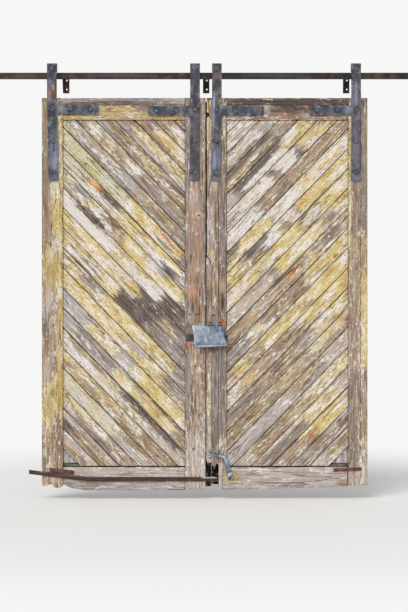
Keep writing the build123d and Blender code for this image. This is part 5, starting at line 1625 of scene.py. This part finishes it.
# The palest patches are painted highlights on the bends and the hammered ends; the dark one down the right
# side is painted shade.
handle_patches = [
    (212.5, 452.8, 5.5, 2.6, tint(76, 108, 118), 0.85), (210.7, 453.6, 1.1, 1, tint(196, 216, 222), 0.9),
    (218.4, 453.4, 2.4, 1.4, tint(92, 92, 108), 0.8), (222, 455.8, 3.4, 0.8, tint(196, 206, 204), 0.8, 18),
    (225.3, 460.3, 0.8, 4, tint(176, 190, 236), 0.8, -12), (231, 462, 1, 4, tint(84, 94, 88), 0.8, -14),
    (228, 463, 1.2, 4, tint(150, 170, 190), 0.6, -14), (229.6, 468.5, 2, 2.4, tint(104, 122, 142), 0.8),
    (229.4, 474, 1.7, 2.6, tint(212, 228, 238), 0.9), (230.2, 478.6, 2.4, 1.3, tint(66, 70, 78), 0.85),
]
dress(["pull_handle"], galvanised("handle_zinc", ((60, 66, 72), (106, 114, 120), (174, 182, 186)),
                                  (50, 50, 50), handle_patches, 0.38))
print("hood and handle dressed")

# %% [markdown]
# ## Nails
#
# Every slanted board is nailed to the stiles with two small nails at each end. Their heads are only a few
# millimetres across, so one low dome is enough for each. They could be dark spots in the wood's material,
# but heads that stand proud catch the light. All of a leaf's nails are one mesh.

# %% Drive the nails
nail_radius, nail_height, nail_depth, nail_sides = mm(4.2), mm(1.6), mm(1.5), 8
nail_turns = [math.tau * turn / nail_sides for turn in range(nail_sides)]
dome_share = 0.7
nail_rings = ((nail_radius, -nail_depth), (nail_radius * dome_share, nail_height * dome_share))


def drive_nails(leaf, places):
    """Low domes in one mesh: an outer ring, a raised inner ring and a top point."""
    shell = bmesh.new()
    for place in places:
        rings = []
        for radius, rise in nail_rings:
            offsets = [Vector((radius * math.cos(turn), -rise, radius * math.sin(turn)))
                       for turn in nail_turns]
            rings.append([shell.verts.new(place + offset) for offset in offsets])
        outer, inner = rings
        top = shell.verts.new(place + Vector((0, -nail_height, 0)))
        shell.faces.new(outer)
        for turn in range(nail_sides):
            after = (turn + 1) % nail_sides
            shell.faces.new((outer[turn], outer[after], inner[after], inner[turn]))
            shell.faces.new((inner[turn], inner[after], top))
    piece = to_object(f"{leaf}_board_nails", shell)
    piece.data.materials.append(nail_iron)
    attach(piece, f"{leaf}_leaf")


nail_iron = old_iron("nail_iron", ((52, 36, 30), (96, 66, 52), (140, 106, 88)), tint(128, 66, 40), 0.5,
                     (90, 90, 90), metallic=0.2, roughness=0.75)
for leaf, places in nail_places.items():
    drive_nails(leaf, places)
    print(leaf, "nails:", len(places))

# %% [markdown]
# ## Finishing
#
# The visual model must stay inside the real one's box.
